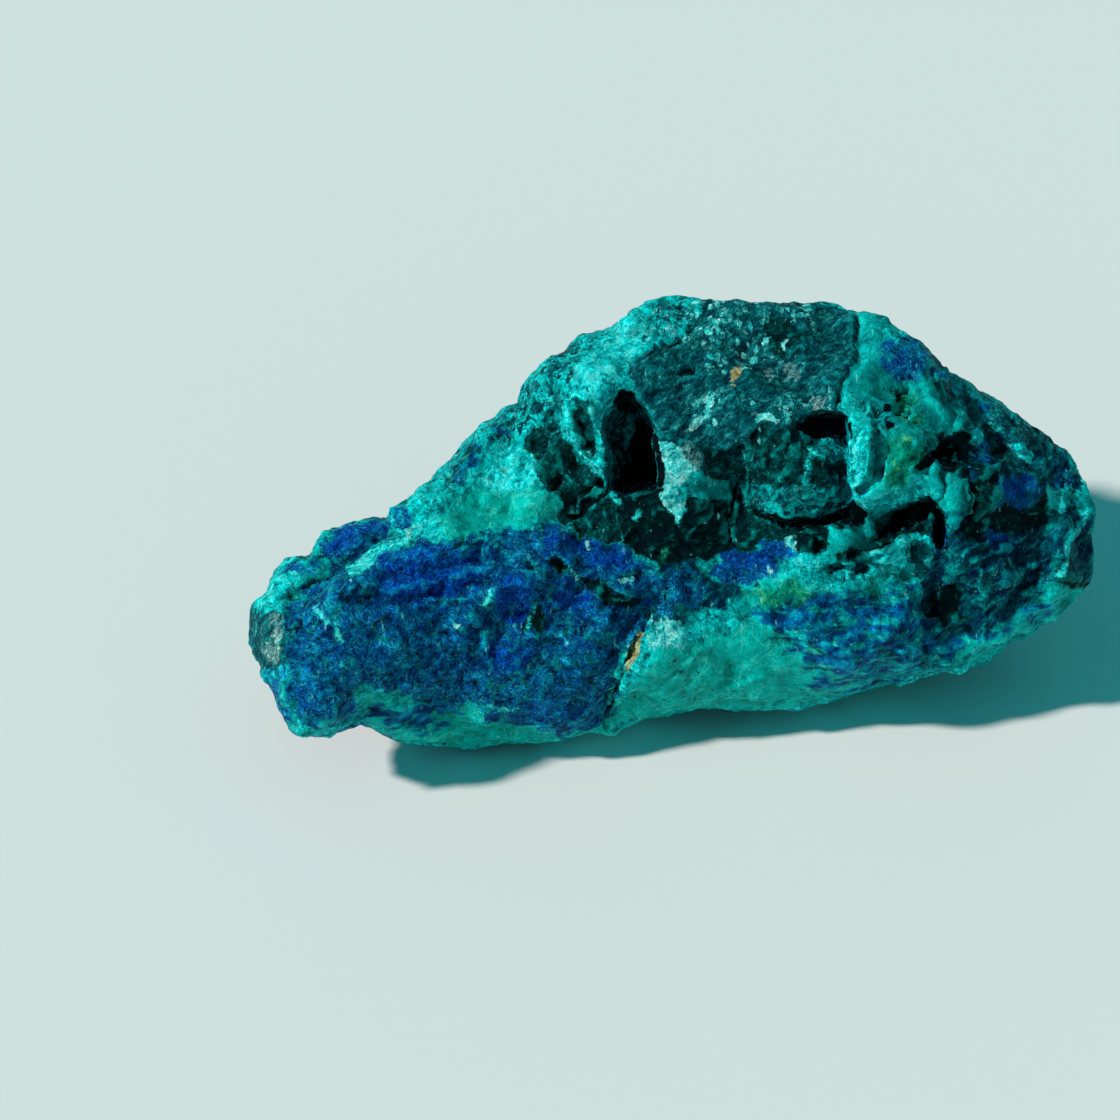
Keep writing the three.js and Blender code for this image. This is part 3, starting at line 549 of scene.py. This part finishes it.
def noise(points, wave, salt):
    """Smooth gradient noise from about -1 to 1, with features about one wave apart."""
    p = points / wave
    cell = np.floor(p).astype(np.int64)
    f = p - cell
    fade = f * f * f * (f * (f * 6 - 15) + 10)
    total = np.zeros(len(p))
    for corner in np.ndindex(2, 2, 2):
        i, j, k = (cell + corner).T
        turn = scramble(i, j, k, salt) * 2 * math.pi
        rise = scramble(i, j, k, salt + 71) * 2 - 1
        flat = np.sqrt(np.maximum(0, 1 - rise * rise))
        d = f - corner
        slope = flat * np.cos(turn) * d[:, 0] + flat * np.sin(turn) * d[:, 1] + rise * d[:, 2]
        weight = np.prod(np.where(np.array(corner) == 1, fade, 1 - fade), axis=1)
        total += weight * slope
    return total * TO_FULL_RANGE


def fractal(points, wave, octaves, salt, gain=0.5):
    """Noise with finer noise on it: each octave has half the wave and gain times the height."""
    total = np.zeros(len(points))
    for n in range(octaves):
        total += gain**n * noise(points, wave / 2**n, salt + 13 * n)
    return total


def ridged(points, wave, octaves, salt):
    """Sharp crests at 1 falling towards 0 between them."""
    total = np.zeros(len(points))
    for n in range(octaves):
        total += 0.5**n * (1 - np.abs(noise(points, wave / 2**n, salt + 17 * n)))
    return total / (2 - 0.5 ** (octaves - 1))


def facets(points, wave, octaves, salt):
    """Noise from about -1 to 1 made of flat facets that meet in edges: linear inside lattice tetrahedra."""
    total = np.zeros(len(points))
    for n in range(octaves):
        p = points / (wave / 2**n)
        p = p + p.sum(axis=1, keepdims=True) / 3
        corner = np.floor(p).astype(np.int64)
        inside = p - corner
        order = np.argsort(-inside, axis=1)
        shares = -np.diff(np.take_along_axis(inside, order, axis=1), prepend=1, append=0, axis=1)
        for k in range(4):
            total += 0.5**n * shares[:, k] * (2 * scramble(*corner.T, salt + 19 * n) - 1)
            if k < 3:
                corner[np.arange(len(corner)), order[:, k]] += 1
    return total


# ---- Meshes ----
def mesh_arrays(mesh):
    """A mesh's vertices and their normals, one row each."""
    points = np.empty(len(mesh.vertices) * 3)
    mesh.vertices.foreach_get("co", points)
    normals = np.empty(len(mesh.vertices) * 3)
    mesh.vertex_normals.foreach_get("vector", normals)
    return points.reshape(-1, 3), normals.reshape(-1, 3)


def set_points(mesh, points):
    mesh.vertices.foreach_set("co", points.ravel())
    mesh.update()


def store(mesh, name, values):
    """Keeps one number for each vertex, which the material reads by its name."""
    mesh.attributes.new(name, "FLOAT", "POINT").data.foreach_set("value", values)


def add_object(name, data):
    added = bpy.data.objects.new(name, data)
    bpy.context.scene.collection.objects.link(added)
    return added


def with_modifier(mesh, kind, **settings):
    """A copy of a mesh with one modifier applied."""
    holder = add_object("holder", mesh)
    modifier = holder.modifiers.new(kind.lower(), kind)
    for key, value in settings.items():
        setattr(modifier, key, value)
    evaluated = holder.evaluated_get(bpy.context.evaluated_depsgraph_get())
    result = bpy.data.meshes.new_from_object(evaluated)
    bpy.data.objects.remove(holder)
    return result


def smoothed(mesh, rounds):
    return with_modifier(mesh, "SMOOTH", factor=0.5, iterations=rounds)


# ---- Sculpting ----
class Surface:
    """A mesh's vertices as the sculpting and the minerals see them."""

    def __init__(self, mesh):
        self.points, self.normals = mesh_arrays(mesh)
        self.place = seen(self.points)
        self.turn = self.normals @ TOWARDS_CAMERA
        self.facing = smoothstep(*FACE_SHOWS, self.turn)
        wander = [fractal(self.points, WANDER_WAVE, 4, salt, 0.6) for salt in (5, 29)]
        self.wander = WANDER * np.stack(wander, axis=1)

    def zone(self, name):
        """1 well inside a zone of the broad face, 0 well outside it."""
        softness, follows, *_ = TRAITS[name]
        place = self.place + follows * self.wander
        half = softness / 2
        weight = np.zeros(len(place))
        for outline in map(corners, ZONES[name]):
            near = close_to(place, outline, half)
            inside = smoothstep(-half, half, depth_inside(place[near], outline))
            weight[near] = np.maximum(weight[near], inside)
        return weight * self.facing


def line_rise(place):
    """Crests and cracks along lines, in millimetres."""
    rise = np.zeros(len(place))
    for numbers, width, height in LINES:
        line = corners(numbers)
        near = close_to(place, line, 3 * width)
        rise[near] += height * np.exp(-((distance_to_line(place[near], line) / width) ** 2))
    return rise


def spot_rise(place, spots, sharpness):
    """Round forms, in millimetres: the sharper, the flatter their middle and the steeper their side."""
    rise = np.zeros(len(place))
    for x, y, radius, height in spots:
        reach = np.hypot(place[:, 0] - x, place[:, 1] - y) / radius
        rise += height * np.exp(-(reach**sharpness))
    return rise


def fill_hollows(points, surface):
    """Raises the points inside the outlines of FILLS to their levels."""
    height = (points - AIM) @ TOWARDS_CAMERA
    for outline, level in FILLS:
        depth = depth_inside(surface.place, corners(outline))
        share = smoothstep(-FILL_SOFTNESS, FILL_SOFTNESS, depth) * surface.facing
        points += TOWARDS_CAMERA * (share * np.maximum(0, level * MM - height))[:, None]


def sculpt_forms(mesh):
    """Cracks, crests, pits, the outline's knobs and dents, and rolling lumps."""
    surface = Surface(mesh)
    rise = line_rise(surface.place + LINES_FOLLOW * surface.wander)
    rise -= spot_rise(surface.place + PITS_FOLLOW * surface.wander, PITS, sharpness=4)
    rise *= surface.facing
    rise += spot_rise(surface.place, EDGES, sharpness=2) * smoothstep(*OUTLINE_SHOWS, surface.turn)
    rise += LUMP_RISE * fractal(surface.points, LUMP_WAVE, 2, 7)
    rise += MOSSY_RISE * surface.zone("mossy") * fractal(surface.points, MOSSY_WAVE, 2, 3)
    points = surface.points + surface.normals * (rise * MM)[:, None]
    fill_hollows(points, surface)
    set_points(mesh, points)


def sculpt_ground(mesh):
    """The roughness of each kind of ground."""
    surface = Surface(mesh)
    points = surface.points
    amounts = np.tile(PLAIN_GROUND, (len(points), 1))
    for name, ground in GROUNDS.items():
        weight = surface.zone(name)[:, None]
        amounts = amounts + weight * (np.array(ground) - amounts)
    bend = [noise(points, BEND_WAVE, salt) for salt in (61, 62, 63)]
    bent = points + BEND * np.stack(bend, axis=1)
    breaks = facets(bent, BREAK_WAVE, 3, 11)
    grain = noise(points, GRAIN_WAVE, 23)
    creases = -smoothstep(CREASE_STARTS, 1, ridged(bent, CREASE_WAVE, 2, 41))
    rise = np.sum(amounts * np.stack([breaks, grain, creases], axis=1), axis=1)
    set_points(mesh, points + surface.normals * (rise * MM)[:, None])


def keep_in_box(mesh, box):
    """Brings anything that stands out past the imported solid's box back to it."""
    points, _ = mesh_arrays(mesh)
    set_points(mesh, np.clip(points, box[0], box[1]))


def crests_of(mesh):
    """1 on crests and worn edges, -1 in hollows, 0 on even ground: crests are worn pale, hollows get painted
    shade.
    """
    points, normals = mesh_arrays(mesh)
    even, _ = mesh_arrays(smoothed(mesh, WEAR_AND_SHADE_ROUNDS))
    return np.clip(np.sum((points - even) * normals, axis=1) / WEAR_AND_SHADE_HEIGHT, -1, 1)


# ---- Minerals ----
def paint_zones(mesh):
    """Stores each zone's weight on the vertices, mineral or painted shade, for the material to break up."""
    surface = Surface(mesh)
    points = surface.points
    patterns = {
        "broad": fractal(points, 11 * MM, 3, 91),
        "other": fractal(points, 8 * MM, 3, 57),
        "soft": noise(points, 14 * MM, 33),
        "spots": noise(points, 6 * MM, 77),
    }
    for name, (_, _, pattern, low, high) in TRAITS.items():
        patches = smoothstep(low, high, patterns[pattern])
        store(mesh, name, surface.zone(name) + (1 - surface.facing) * patches)
    # crests for wear, and hollows for painted shade
    store(mesh, "wear_and_hollow_shade", crests_of(mesh))


class Nodes:
    """Short calls for the shader nodes that the stone's material is made of."""

    def __init__(self, tree):
        self.tree = tree
        self.coordinates = self.add("ShaderNodeTexCoord").outputs
        self.place = self.coordinates["Object"]

    def put(self, socket, value):
        if isinstance(value, bpy.types.NodeSocket):
            self.tree.links.new(value, socket)
        else:
            socket.default_value = value

    def add(self, kind, inputs=(), **settings):
        node = self.tree.nodes.new(kind)
        for key, value in settings.items():
            setattr(node, key, value)
        for key, value in dict(inputs).items():
            self.put(node.inputs[key], value)
        return node

    def weight(self, name):
        return self.add("ShaderNodeAttribute", attribute_name=name).outputs["Fac"]

    def along(self, turn, stretch):
        """Coordinates in which patterns are drawn out along the direction that x is turned to."""
        inputs = {"Vector": self.place, "Rotation": turn, "Scale": (stretch, 1, 1)}
        return self.add("ShaderNodeMapping", inputs, vector_type="TEXTURE").outputs["Vector"]

    def noise(self, wave, detail, roughness, warp, at=None):
        inputs = {"Vector": at or self.place, "Scale": 1 / (wave * MM), "Detail": detail,
                  "Roughness": roughness, "Distortion": warp}
        return self.add("ShaderNodeTexNoise", inputs).outputs["Fac"]

    def math(self, operation, a, b=0.0):
        return self.add("ShaderNodeMath", {0: a, 1: b}, operation=operation).outputs[0]

    def times(self, a, b):
        return self.math("MULTIPLY", a, b)

    def spread(self, value, low, high, least, most, how="LINEAR"):
        """A value that runs from low to high, as one that runs from least to most."""
        inputs = {"Value": value, "From Min": low, "From Max": high, "To Min": least, "To Max": most}
        return self.add("ShaderNodeMapRange", inputs, interpolation_type=how).outputs["Result"]

    def step(self, value, low, high, most=1.0):
        """0 at low, rising smoothly to most at high."""
        return self.spread(value, low, high, 0.0, most, "SMOOTHSTEP")

    def veins(self, wave, width, warp=1.0, at=None):
        """1 on thin wandering lines, 0 between them."""
        pattern = self.noise(wave, 2, 0.5, warp, at)
        return self.step(self.math("ABSOLUTE", self.math("SUBTRACT", pattern, 0.5)), width, 0.0)

    def crumbs(self, wave, height):
        """Small crisp-edged crumbs that are up to height lighter or darker than their ground."""
        pattern = self.noise(wave, 2, 0.6, 1.0)
        raised = self.step(pattern, 0.55, 0.63, height)
        return self.math("SUBTRACT", raised, self.step(pattern, 0.45, 0.37, height))

    def grains(self, wave, share, rough, at):
        """1 on a scatter of small grains with ragged outlines, 0 between them."""
        cells = self.add("ShaderNodeTexVoronoi", {"Vector": at, "Scale": 1 / (wave * MM)})
        chosen = self.step(cells.outputs["Color"], share + 0.02, share - 0.02)
        reach = self.math("ADD", cells.outputs["Distance"], self.times(rough, 2.2))
        return self.times(chosen, self.step(reach, 1.5, 1.4))

    def mix(self, share, a, b, blend="MIX"):
        node = self.add("ShaderNodeMix", data_type="RGBA", blend_type=blend)
        self.put(node.inputs[0], share)
        self.put(node.inputs[6], a)
        self.put(node.inputs[7], b)
        return node.outputs[2]

    def lay(self, base, tint, zone, pattern, share=1.0, reach=1.6, edge=0.1, only=1.0):
        """A base with a tint over it in a zone, which a pattern breaks up into crisp-edged patches.

        Share scales the zone's weight, reach is how far the pattern shifts its border, edge is how soft the
        patches' edges are, and only hides the tint where it is 0.
        """
        weight = self.times(self.weight(zone), share)
        pushed = self.math("ADD", weight, self.times(self.math("SUBTRACT", pattern, 0.5), reach))
        patches = self.step(pushed, 0.5 - edge, 0.5 + edge)
        return self.mix(self.times(patches, only), base, tint)

    def ramp(self, value, stops):
        node = self.add("ShaderNodeValToRGB", {"Fac": value})
        elements = node.color_ramp.elements
        while len(elements) < len(stops):
            elements.new(1.0)
        for element, (position, *tint) in zip(elements, stops):
            element.position = position
            element.color = colour(*tint)
        return node.outputs["Color"]


def colour(red, green, blue):
    """An sRGB colour, from 0 to 255, as the linear colour that shaders take."""
    shares = (red / 255, green / 255, blue / 255)
    return (*(c / 12.92 if c <= 0.04045 else ((c + 0.055) / 1.055) ** 2.4 for c in shares), 1)


# Each mineral's colours, dark to light, as (place on its pattern, red, green, blue) in sRGB.
TURQUOISE = [(0.36, 0, 66, 74), (0.42, 0, 118, 122), (0.48, 0, 172, 172), (0.55, 0, 210, 208),
             (0.64, 60, 230, 224)]
MALACHITE = [(0.3, 0, 106, 96), (0.42, 0, 164, 152), (0.54, 0, 190, 178), (0.68, 6, 208, 196)]
AZURITE = [(0.36, 0, 17, 48), (0.43, 0, 46, 97), (0.5, 0, 77, 137), (0.57, 0, 112, 166), (0.65, 0, 158, 192)]
VIVID = [(0.34, 0, 12, 68), (0.43, 0, 34, 122), (0.53, 0, 60, 164), (0.64, 0, 102, 196)]
STREAKED = [(0.34, 0, 18, 46), (0.44, 0, 40, 70), (0.52, 0, 75, 96), (0.59, 0, 118, 120), (0.68, 0, 166, 156)]
MOSSY = [(0.36, 0, 6, 10), (0.43, 0, 24, 28), (0.5, 0, 54, 56), (0.57, 0, 98, 96), (0.65, 30, 175, 168)]
# dark ground, also laid as painted shade in folds, cracks and holes
DARK_GROUND_AND_SHADE = [(0.36, 0, 5, 8), (0.47, 0, 15, 19), (0.55, 0, 34, 37), (0.63, 0, 70, 70), (0.71, 8, 150, 142)]
# the slab's colours, also laid as painted shade in folds of the shoulder and at the ledge
SLAB = [(0.37, 0, 22, 32), (0.435, 0, 50, 62), (0.5, 2, 82, 92), (0.565, 14, 120, 124), (0.64, 74, 174, 168)]
SMOOTH = [(0.34, 0, 88, 92), (0.46, 0, 130, 128), (0.56, 0, 156, 150), (0.7, 10, 186, 178)]
FRESH = [(0.37, 0, 84, 96), (0.43, 0, 164, 170), (0.5, 0, 213, 213), (0.61, 100, 238, 232)]
PALE = [(0.34, 0, 124, 130), (0.43, 40, 190, 190), (0.53, 110, 222, 218), (0.66, 185, 238, 232)]
YELLOW = [(0.36, 0, 84, 72), (0.48, 0, 132, 108), (0.57, 4, 160, 118), (0.67, 110, 192, 110)]
OCHRE = [(0.36, 84, 88, 56), (0.48, 164, 150, 92), (0.58, 190, 182, 132), (0.7, 220, 220, 190)]
TAN = [(0.36, 10, 74, 86), (0.45, 56, 118, 124), (0.55, 116, 162, 158), (0.68, 190, 212, 200)]
# painted shadow: the colour laid in the deepest places, which lie in shade
SHADOW_BLACK = colour(0, 4, 7)
FLECK = colour(40, 185, 200)
SPOT = colour(0, 125, 128)
DEEP_SPOT = colour(0, 26, 42)
DARK_SPOT = colour(0, 84, 90)
PALE_VEIN = colour(70, 215, 195)
WORN_CREST = colour(0, 175, 168)
# painted shade: hollows are painted darker, and crests lighter as wear
HOLLOW_SHADE = 0.5  # how bright hollows and crests are; even ground is halfway
CREST_SHADE = 1.25
BUMP_STRENGTH = 0.9
BUMP_HEIGHT = 0.16 * MM
SMOOTHEST = 0.5
ROUGHEST = 0.95
SPECULAR_LEVEL = 0.14
SPECULAR_TINT = (0.1, 0.75, 0.85, 1)

# Turns that lay a pattern's strokes up to the right on the broad face, straight up it, and level.
STROKES = (0, math.radians(-33), math.radians(33))
UPRIGHT = (0, math.radians(-50), math.radians(90))
LEVEL = (0, 0, 0)


# Below, n is the material's Nodes and p holds the patterns that its minerals share.
def mineral_patterns(n):
    """Each noise is given by its wave in millimetres, detail, roughness, warp and coordinates."""
    p = SimpleNamespace()
    p.fine = n.noise(0.5, 4, 0.72, 1.0)
    p.medium = n.noise(1.3, 6, 0.68, 0.5)
    p.strokes = n.noise(0.7, 5, 0.72, 0.3, n.along(STROKES, 3.2))
    p.scratches = n.noise(0.36, 4, 0.7, 0.8, n.along(STROKES, 2))
    p.level = n.noise(0.7, 3, 0.58, 0.4, n.along(LEVEL, 2.2))
    p.upright = n.noise(0.45, 3, 0.6, 0.0, n.along(UPRIGHT, 3.5))
    p.spots = n.noise(0.75, 3, 0.66, 0.6)
    p.blend = n.math("ADD", n.times(p.fine, 0.6), n.times(p.medium, 0.4))
    p.curls = n.veins(0.9, 0.035, 2.2)
    leaning = n.along(UPRIGHT, 1.5)
    large = n.grains(0.8, 0.52, p.fine, leaning)
    p.flecks = n.math("MAXIMUM", large, n.grains(0.45, 0.5, p.scratches, leaning))
    return p


def malachite_colour(n, p):
    """Green with thin pale creases."""
    creases = n.math("MAXIMUM", n.veins(2.6, 0.018), n.veins(1.8, 0.018, 0.6, n.along(STROKES, 2)))
    return n.mix(n.times(creases, 0.6), n.ramp(p.medium, MALACHITE), PALE_VEIN)


def turquoise_colour(n, p):
    """Turquoise with bright and dark spots, and evener where the ground is smooth or mottled."""
    turquoise = n.mix(n.step(p.spots, 0.57, 0.61, 0.8), n.ramp(p.blend, TURQUOISE), n.ramp(p.fine, FRESH))
    turquoise = n.mix(n.step(p.spots, 0.42, 0.38, 0.6), turquoise, DARK_SPOT)
    even = n.math("MAXIMUM", n.weight("smooth"), n.times(n.weight("mottled"), 0.6))
    return n.mix(n.times(even, 0.8), turquoise, n.ramp(p.medium, SMOOTH))


def azurite_colour(n, p, vivid):
    """Blue with turquoise spots and curls, deep spots and vivid places."""
    azurite = n.mix(n.step(n.noise(1.0, 4, 0.7, 0.8), 0.55, 0.60), n.ramp(p.blend, AZURITE), SPOT)
    azurite = n.mix(n.times(p.curls, n.step(p.medium, 0.42, 0.58)), azurite, FLECK)
    azurite = n.mix(n.step(n.noise(0.8, 4, 0.7, 0.8), 0.43, 0.37), azurite, DEEP_SPOT)
    return n.mix(n.step(n.noise(2.4, 4, 0.65, 0.8), 0.54, 0.60, 0.4), azurite, vivid)


def lay_minerals(n, p):
    """The stone's colour before wear: one mineral laid over another, with painted shade in folds and cracks.
    """
    vivid = n.mix(n.times(p.curls, 0.35), n.ramp(p.blend, VIVID), FLECK)
    azurite = azurite_colour(n, p, vivid)
    slab_and_fold_shade = n.ramp(n.math("ADD", n.times(p.scratches, 0.6), n.times(p.strokes, 0.4)), SLAB)
    mossy = n.ramp(n.math("ADD", n.times(p.scratches, 0.4), n.times(p.blend, 0.6)), MOSSY)
    threads = n.times(n.veins(1.4, 0.014, 0.5, n.along(STROKES, 3)), 0.6)
    streaked = n.mix(threads, n.ramp(p.strokes, STREAKED), SPOT)

    base = n.lay(turquoise_colour(n, p), malachite_colour(n, p), "green", p.medium, edge=0.25)
    base = n.lay(base, n.ramp(p.medium, AZURITE), "mottled", p.level, share=0.58, edge=0.16)
    base = n.lay(base, slab_and_fold_shade, "speckled", p.spots, share=0.5, reach=3.0, edge=0.08)
    base = n.lay(base, streaked, "streaked", p.medium, reach=1.8, edge=0.2)
    base = n.lay(base, azurite, "azurite", p.medium, reach=1.8, edge=0.14)
    base = n.lay(base, vivid, "vivid", p.medium, share=0.85, reach=1.4, edge=0.45)
    # the slab, and painted shade in folds of the shoulder and at the ledge
    base = n.lay(base, slab_and_fold_shade, "slab_and_fold_shade", p.scratches)
    base = n.lay(base, n.ramp(p.fine, PALE), "flecked", p.medium, share=0.75, reach=2.0, only=p.flecks)
    base = n.lay(base, mossy, "mossy", p.scratches, reach=1.8)
    # dark ground, with painted shade in folds, cracks and holes
    base = n.lay(base, n.ramp(p.blend, DARK_GROUND_AND_SHADE), "dark_ground_and_shade", p.fine, reach=1.8)
    base = n.lay(base, n.ramp(p.fine, YELLOW), "yellow", p.strokes, share=0.8, reach=1.8, edge=0.4)
    base = n.lay(base, n.ramp(p.blend, FRESH), "fresh", p.fine, share=0.9, reach=1.4, edge=0.2)
    base = n.lay(base, n.ramp(p.fine, PALE), "tufts", p.upright, share=0.7, reach=2.4, edge=0.15)
    base = n.lay(base, n.ramp(p.scratches, PALE), "pale", p.scratches, reach=1.4)
    base = n.lay(base, n.ramp(p.fine, TAN), "tan", p.scratches, share=0.64, reach=1.8, edge=0.2)
    return n.lay(base, n.ramp(p.fine, OCHRE), "ochre", p.scratches, reach=1.4, edge=0.2)


def weather(n, p, base, crumbs):
    """Worn crests, painted shade in hollows, crumbs that are weaker on calm ground, and painted shadow in the
    deepest places.
    """
    wear_and_hollow_shade = n.weight("wear_and_hollow_shade")
    base = n.mix(n.step(wear_and_hollow_shade, 0.3, 1.0, 0.25), base, WORN_CREST)
    # painted shade: hollows darkened, crests lightened as wear
    shade = n.spread(wear_and_hollow_shade, -1.0, 1.0, HOLLOW_SHADE, CREST_SHADE)
    calm = n.times(n.math("MAXIMUM", n.weight("green"), n.weight("smooth")), 0.7)
    crumbled = n.math("ADD", 1.0, n.times(crumbs, n.math("SUBTRACT", 1.0, calm)))
    base = n.mix(1.0, base, n.times(shade, crumbled), "MULTIPLY")
    # painted shadow: black laid in the pocket, cracks, pits and holes
    return n.lay(base, SHADOW_BLACK, "painted_shadow", p.fine, reach=0.7, edge=0.15)


def mineral_material():
    material = bpy.data.materials.new("azurite_malachite")
    material.use_nodes = True
    material.node_tree.nodes.clear()
    n = Nodes(material.node_tree)
    p = mineral_patterns(n)
    crumbs = n.math("ADD", n.crumbs(0.3, 0.35), n.crumbs(0.55, 0.3))
    grain = n.math("ADD", n.times(crumbs, 0.5), n.times(p.fine, 0.8))
    bump = n.add("ShaderNodeBump", {"Height": grain, "Strength": BUMP_STRENGTH, "Distance": BUMP_HEIGHT})
    shader = n.add("ShaderNodeBsdfPrincipled", {
        "Base Color": weather(n, p, lay_minerals(n, p), crumbs),
        "Normal": bump.outputs["Normal"],
        "Roughness": n.spread(p.medium, 0.0, 1.0, SMOOTHEST, ROUGHEST),
        "Specular IOR Level": SPECULAR_LEVEL,
        "Specular Tint": SPECULAR_TINT,
    })
    n.add("ShaderNodeOutputMaterial", {"Surface": shader.outputs["BSDF"]})
    return material


# ---- The piece ----
def add_stone():
    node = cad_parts[STONE]
    mesh = with_modifier(node.data.copy(), "REMESH", mode="VOXEL", voxel_size=VOXEL)
    mesh = smoothed(mesh, SMOOTHING_ROUNDS)
    sculpt_forms(mesh)
    sculpt_ground(mesh)
    keep_in_box(mesh, cad_box)
    triangles = sum(len(face.vertices) - 2 for face in mesh.polygons)
    mesh = with_modifier(mesh, "DECIMATE", ratio=min(1.0, MOST_TRIANGLES / triangles))
    mesh.shade_smooth()
    paint_zones(mesh)
    mesh.materials.clear()
    mesh.materials.append(mineral_material())
    stone = add_object("stone", mesh)
    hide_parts(STONE)
    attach(stone, "root")
    print("stone:", len(mesh.vertices), "vertices,", len(mesh.polygons), "faces, before", triangles)


# ---- Floor, light and camera ----
FLOOR_REACH = 2.0
FLOOR_TINT = colour(231, 232, 231)
FLOOR_ROUGHNESS = 0.8
SUN_STRENGTH = 3.7
SUN_WIDTH = math.radians(4)
SUN_TINT = (1.0, 0.92, 0.88)
# The sunlight travels to the right, turned this far away from the camera, and falls this steeply.
SUN_TRAVEL = math.radians(14)
SUN_DROP = math.radians(39)
# The sky's colour up to one height, and from a second one up (0 is the horizon, 1 is overhead).
SKY_BAND = (0.12, (0.13, 0.52, 0.53, 1))
SKY_FILL = (0.38, (0.02, 0.23, 0.25, 1))


def look_along(thing, direction):
    thing.rotation_euler = Vector(direction).to_track_quat("-Z", "Y").to_euler()


def add_floor():
    material = bpy.data.materials.new("floor")
    material.use_nodes = True
    shader = material.node_tree.nodes["Principled BSDF"]
    shader.inputs["Base Color"].default_value = FLOOR_TINT
    shader.inputs["Roughness"].default_value = FLOOR_ROUGHNESS
    low = -FLOOR_REACH
    high = FLOOR_REACH
    mesh = bpy.data.meshes.new("floor")
    mesh.from_pydata([(low, low, 0), (high, low, 0), (high, high, 0), (low, high, 0)], [], [(0, 1, 2, 3)])
    mesh.materials.append(material)
    floor = add_object("floor", mesh)
    floor.location.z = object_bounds()[0][2]


def add_key_light():
    key = bpy.data.lights.new("key", "SUN")
    key.energy = SUN_STRENGTH
    key.angle = SUN_WIDTH
    key.color = SUN_TINT
    level = math.cos(SUN_DROP)
    direction = (math.cos(SUN_TRAVEL) * level, math.sin(SUN_TRAVEL) * level, -math.sin(SUN_DROP))
    look_along(add_object("key", key), direction)


def add_sky():
    """A teal fill from above, with a pale band low down all round."""
    world = bpy.data.worlds.new("studio")
    bpy.context.scene.world = world
    world.use_nodes = True
    n = Nodes(world.node_tree)
    split = n.add("ShaderNodeSeparateXYZ", {"Vector": n.coordinates["Generated"]})
    ramp = n.add("ShaderNodeValToRGB", {"Fac": split.outputs["Z"]})
    n.put(world.node_tree.nodes["Background"].inputs["Color"], ramp.outputs["Color"])
    for element, (height, tint) in zip(ramp.color_ramp.elements, (SKY_BAND, SKY_FILL)):
        element.position = height
        element.color = tint


def add_camera():
    camera = bpy.data.cameras.new("camera")
    camera.sensor_fit = "HORIZONTAL"
    camera.angle = 2 * math.atan(HALF_VIEW / CAMERA_DISTANCE)
    camera.clip_start = CLIP_START
    holder = add_object("camera", camera)
    holder.location = AIM + CAMERA_DISTANCE * TOWARDS_CAMERA
    look_along(holder, -TOWARDS_CAMERA)
    bpy.context.scene.camera = holder


add_stone()
add_floor()
add_key_light()
add_sky()
add_camera()
bpy.context.scene.view_settings.view_transform = "Standard"
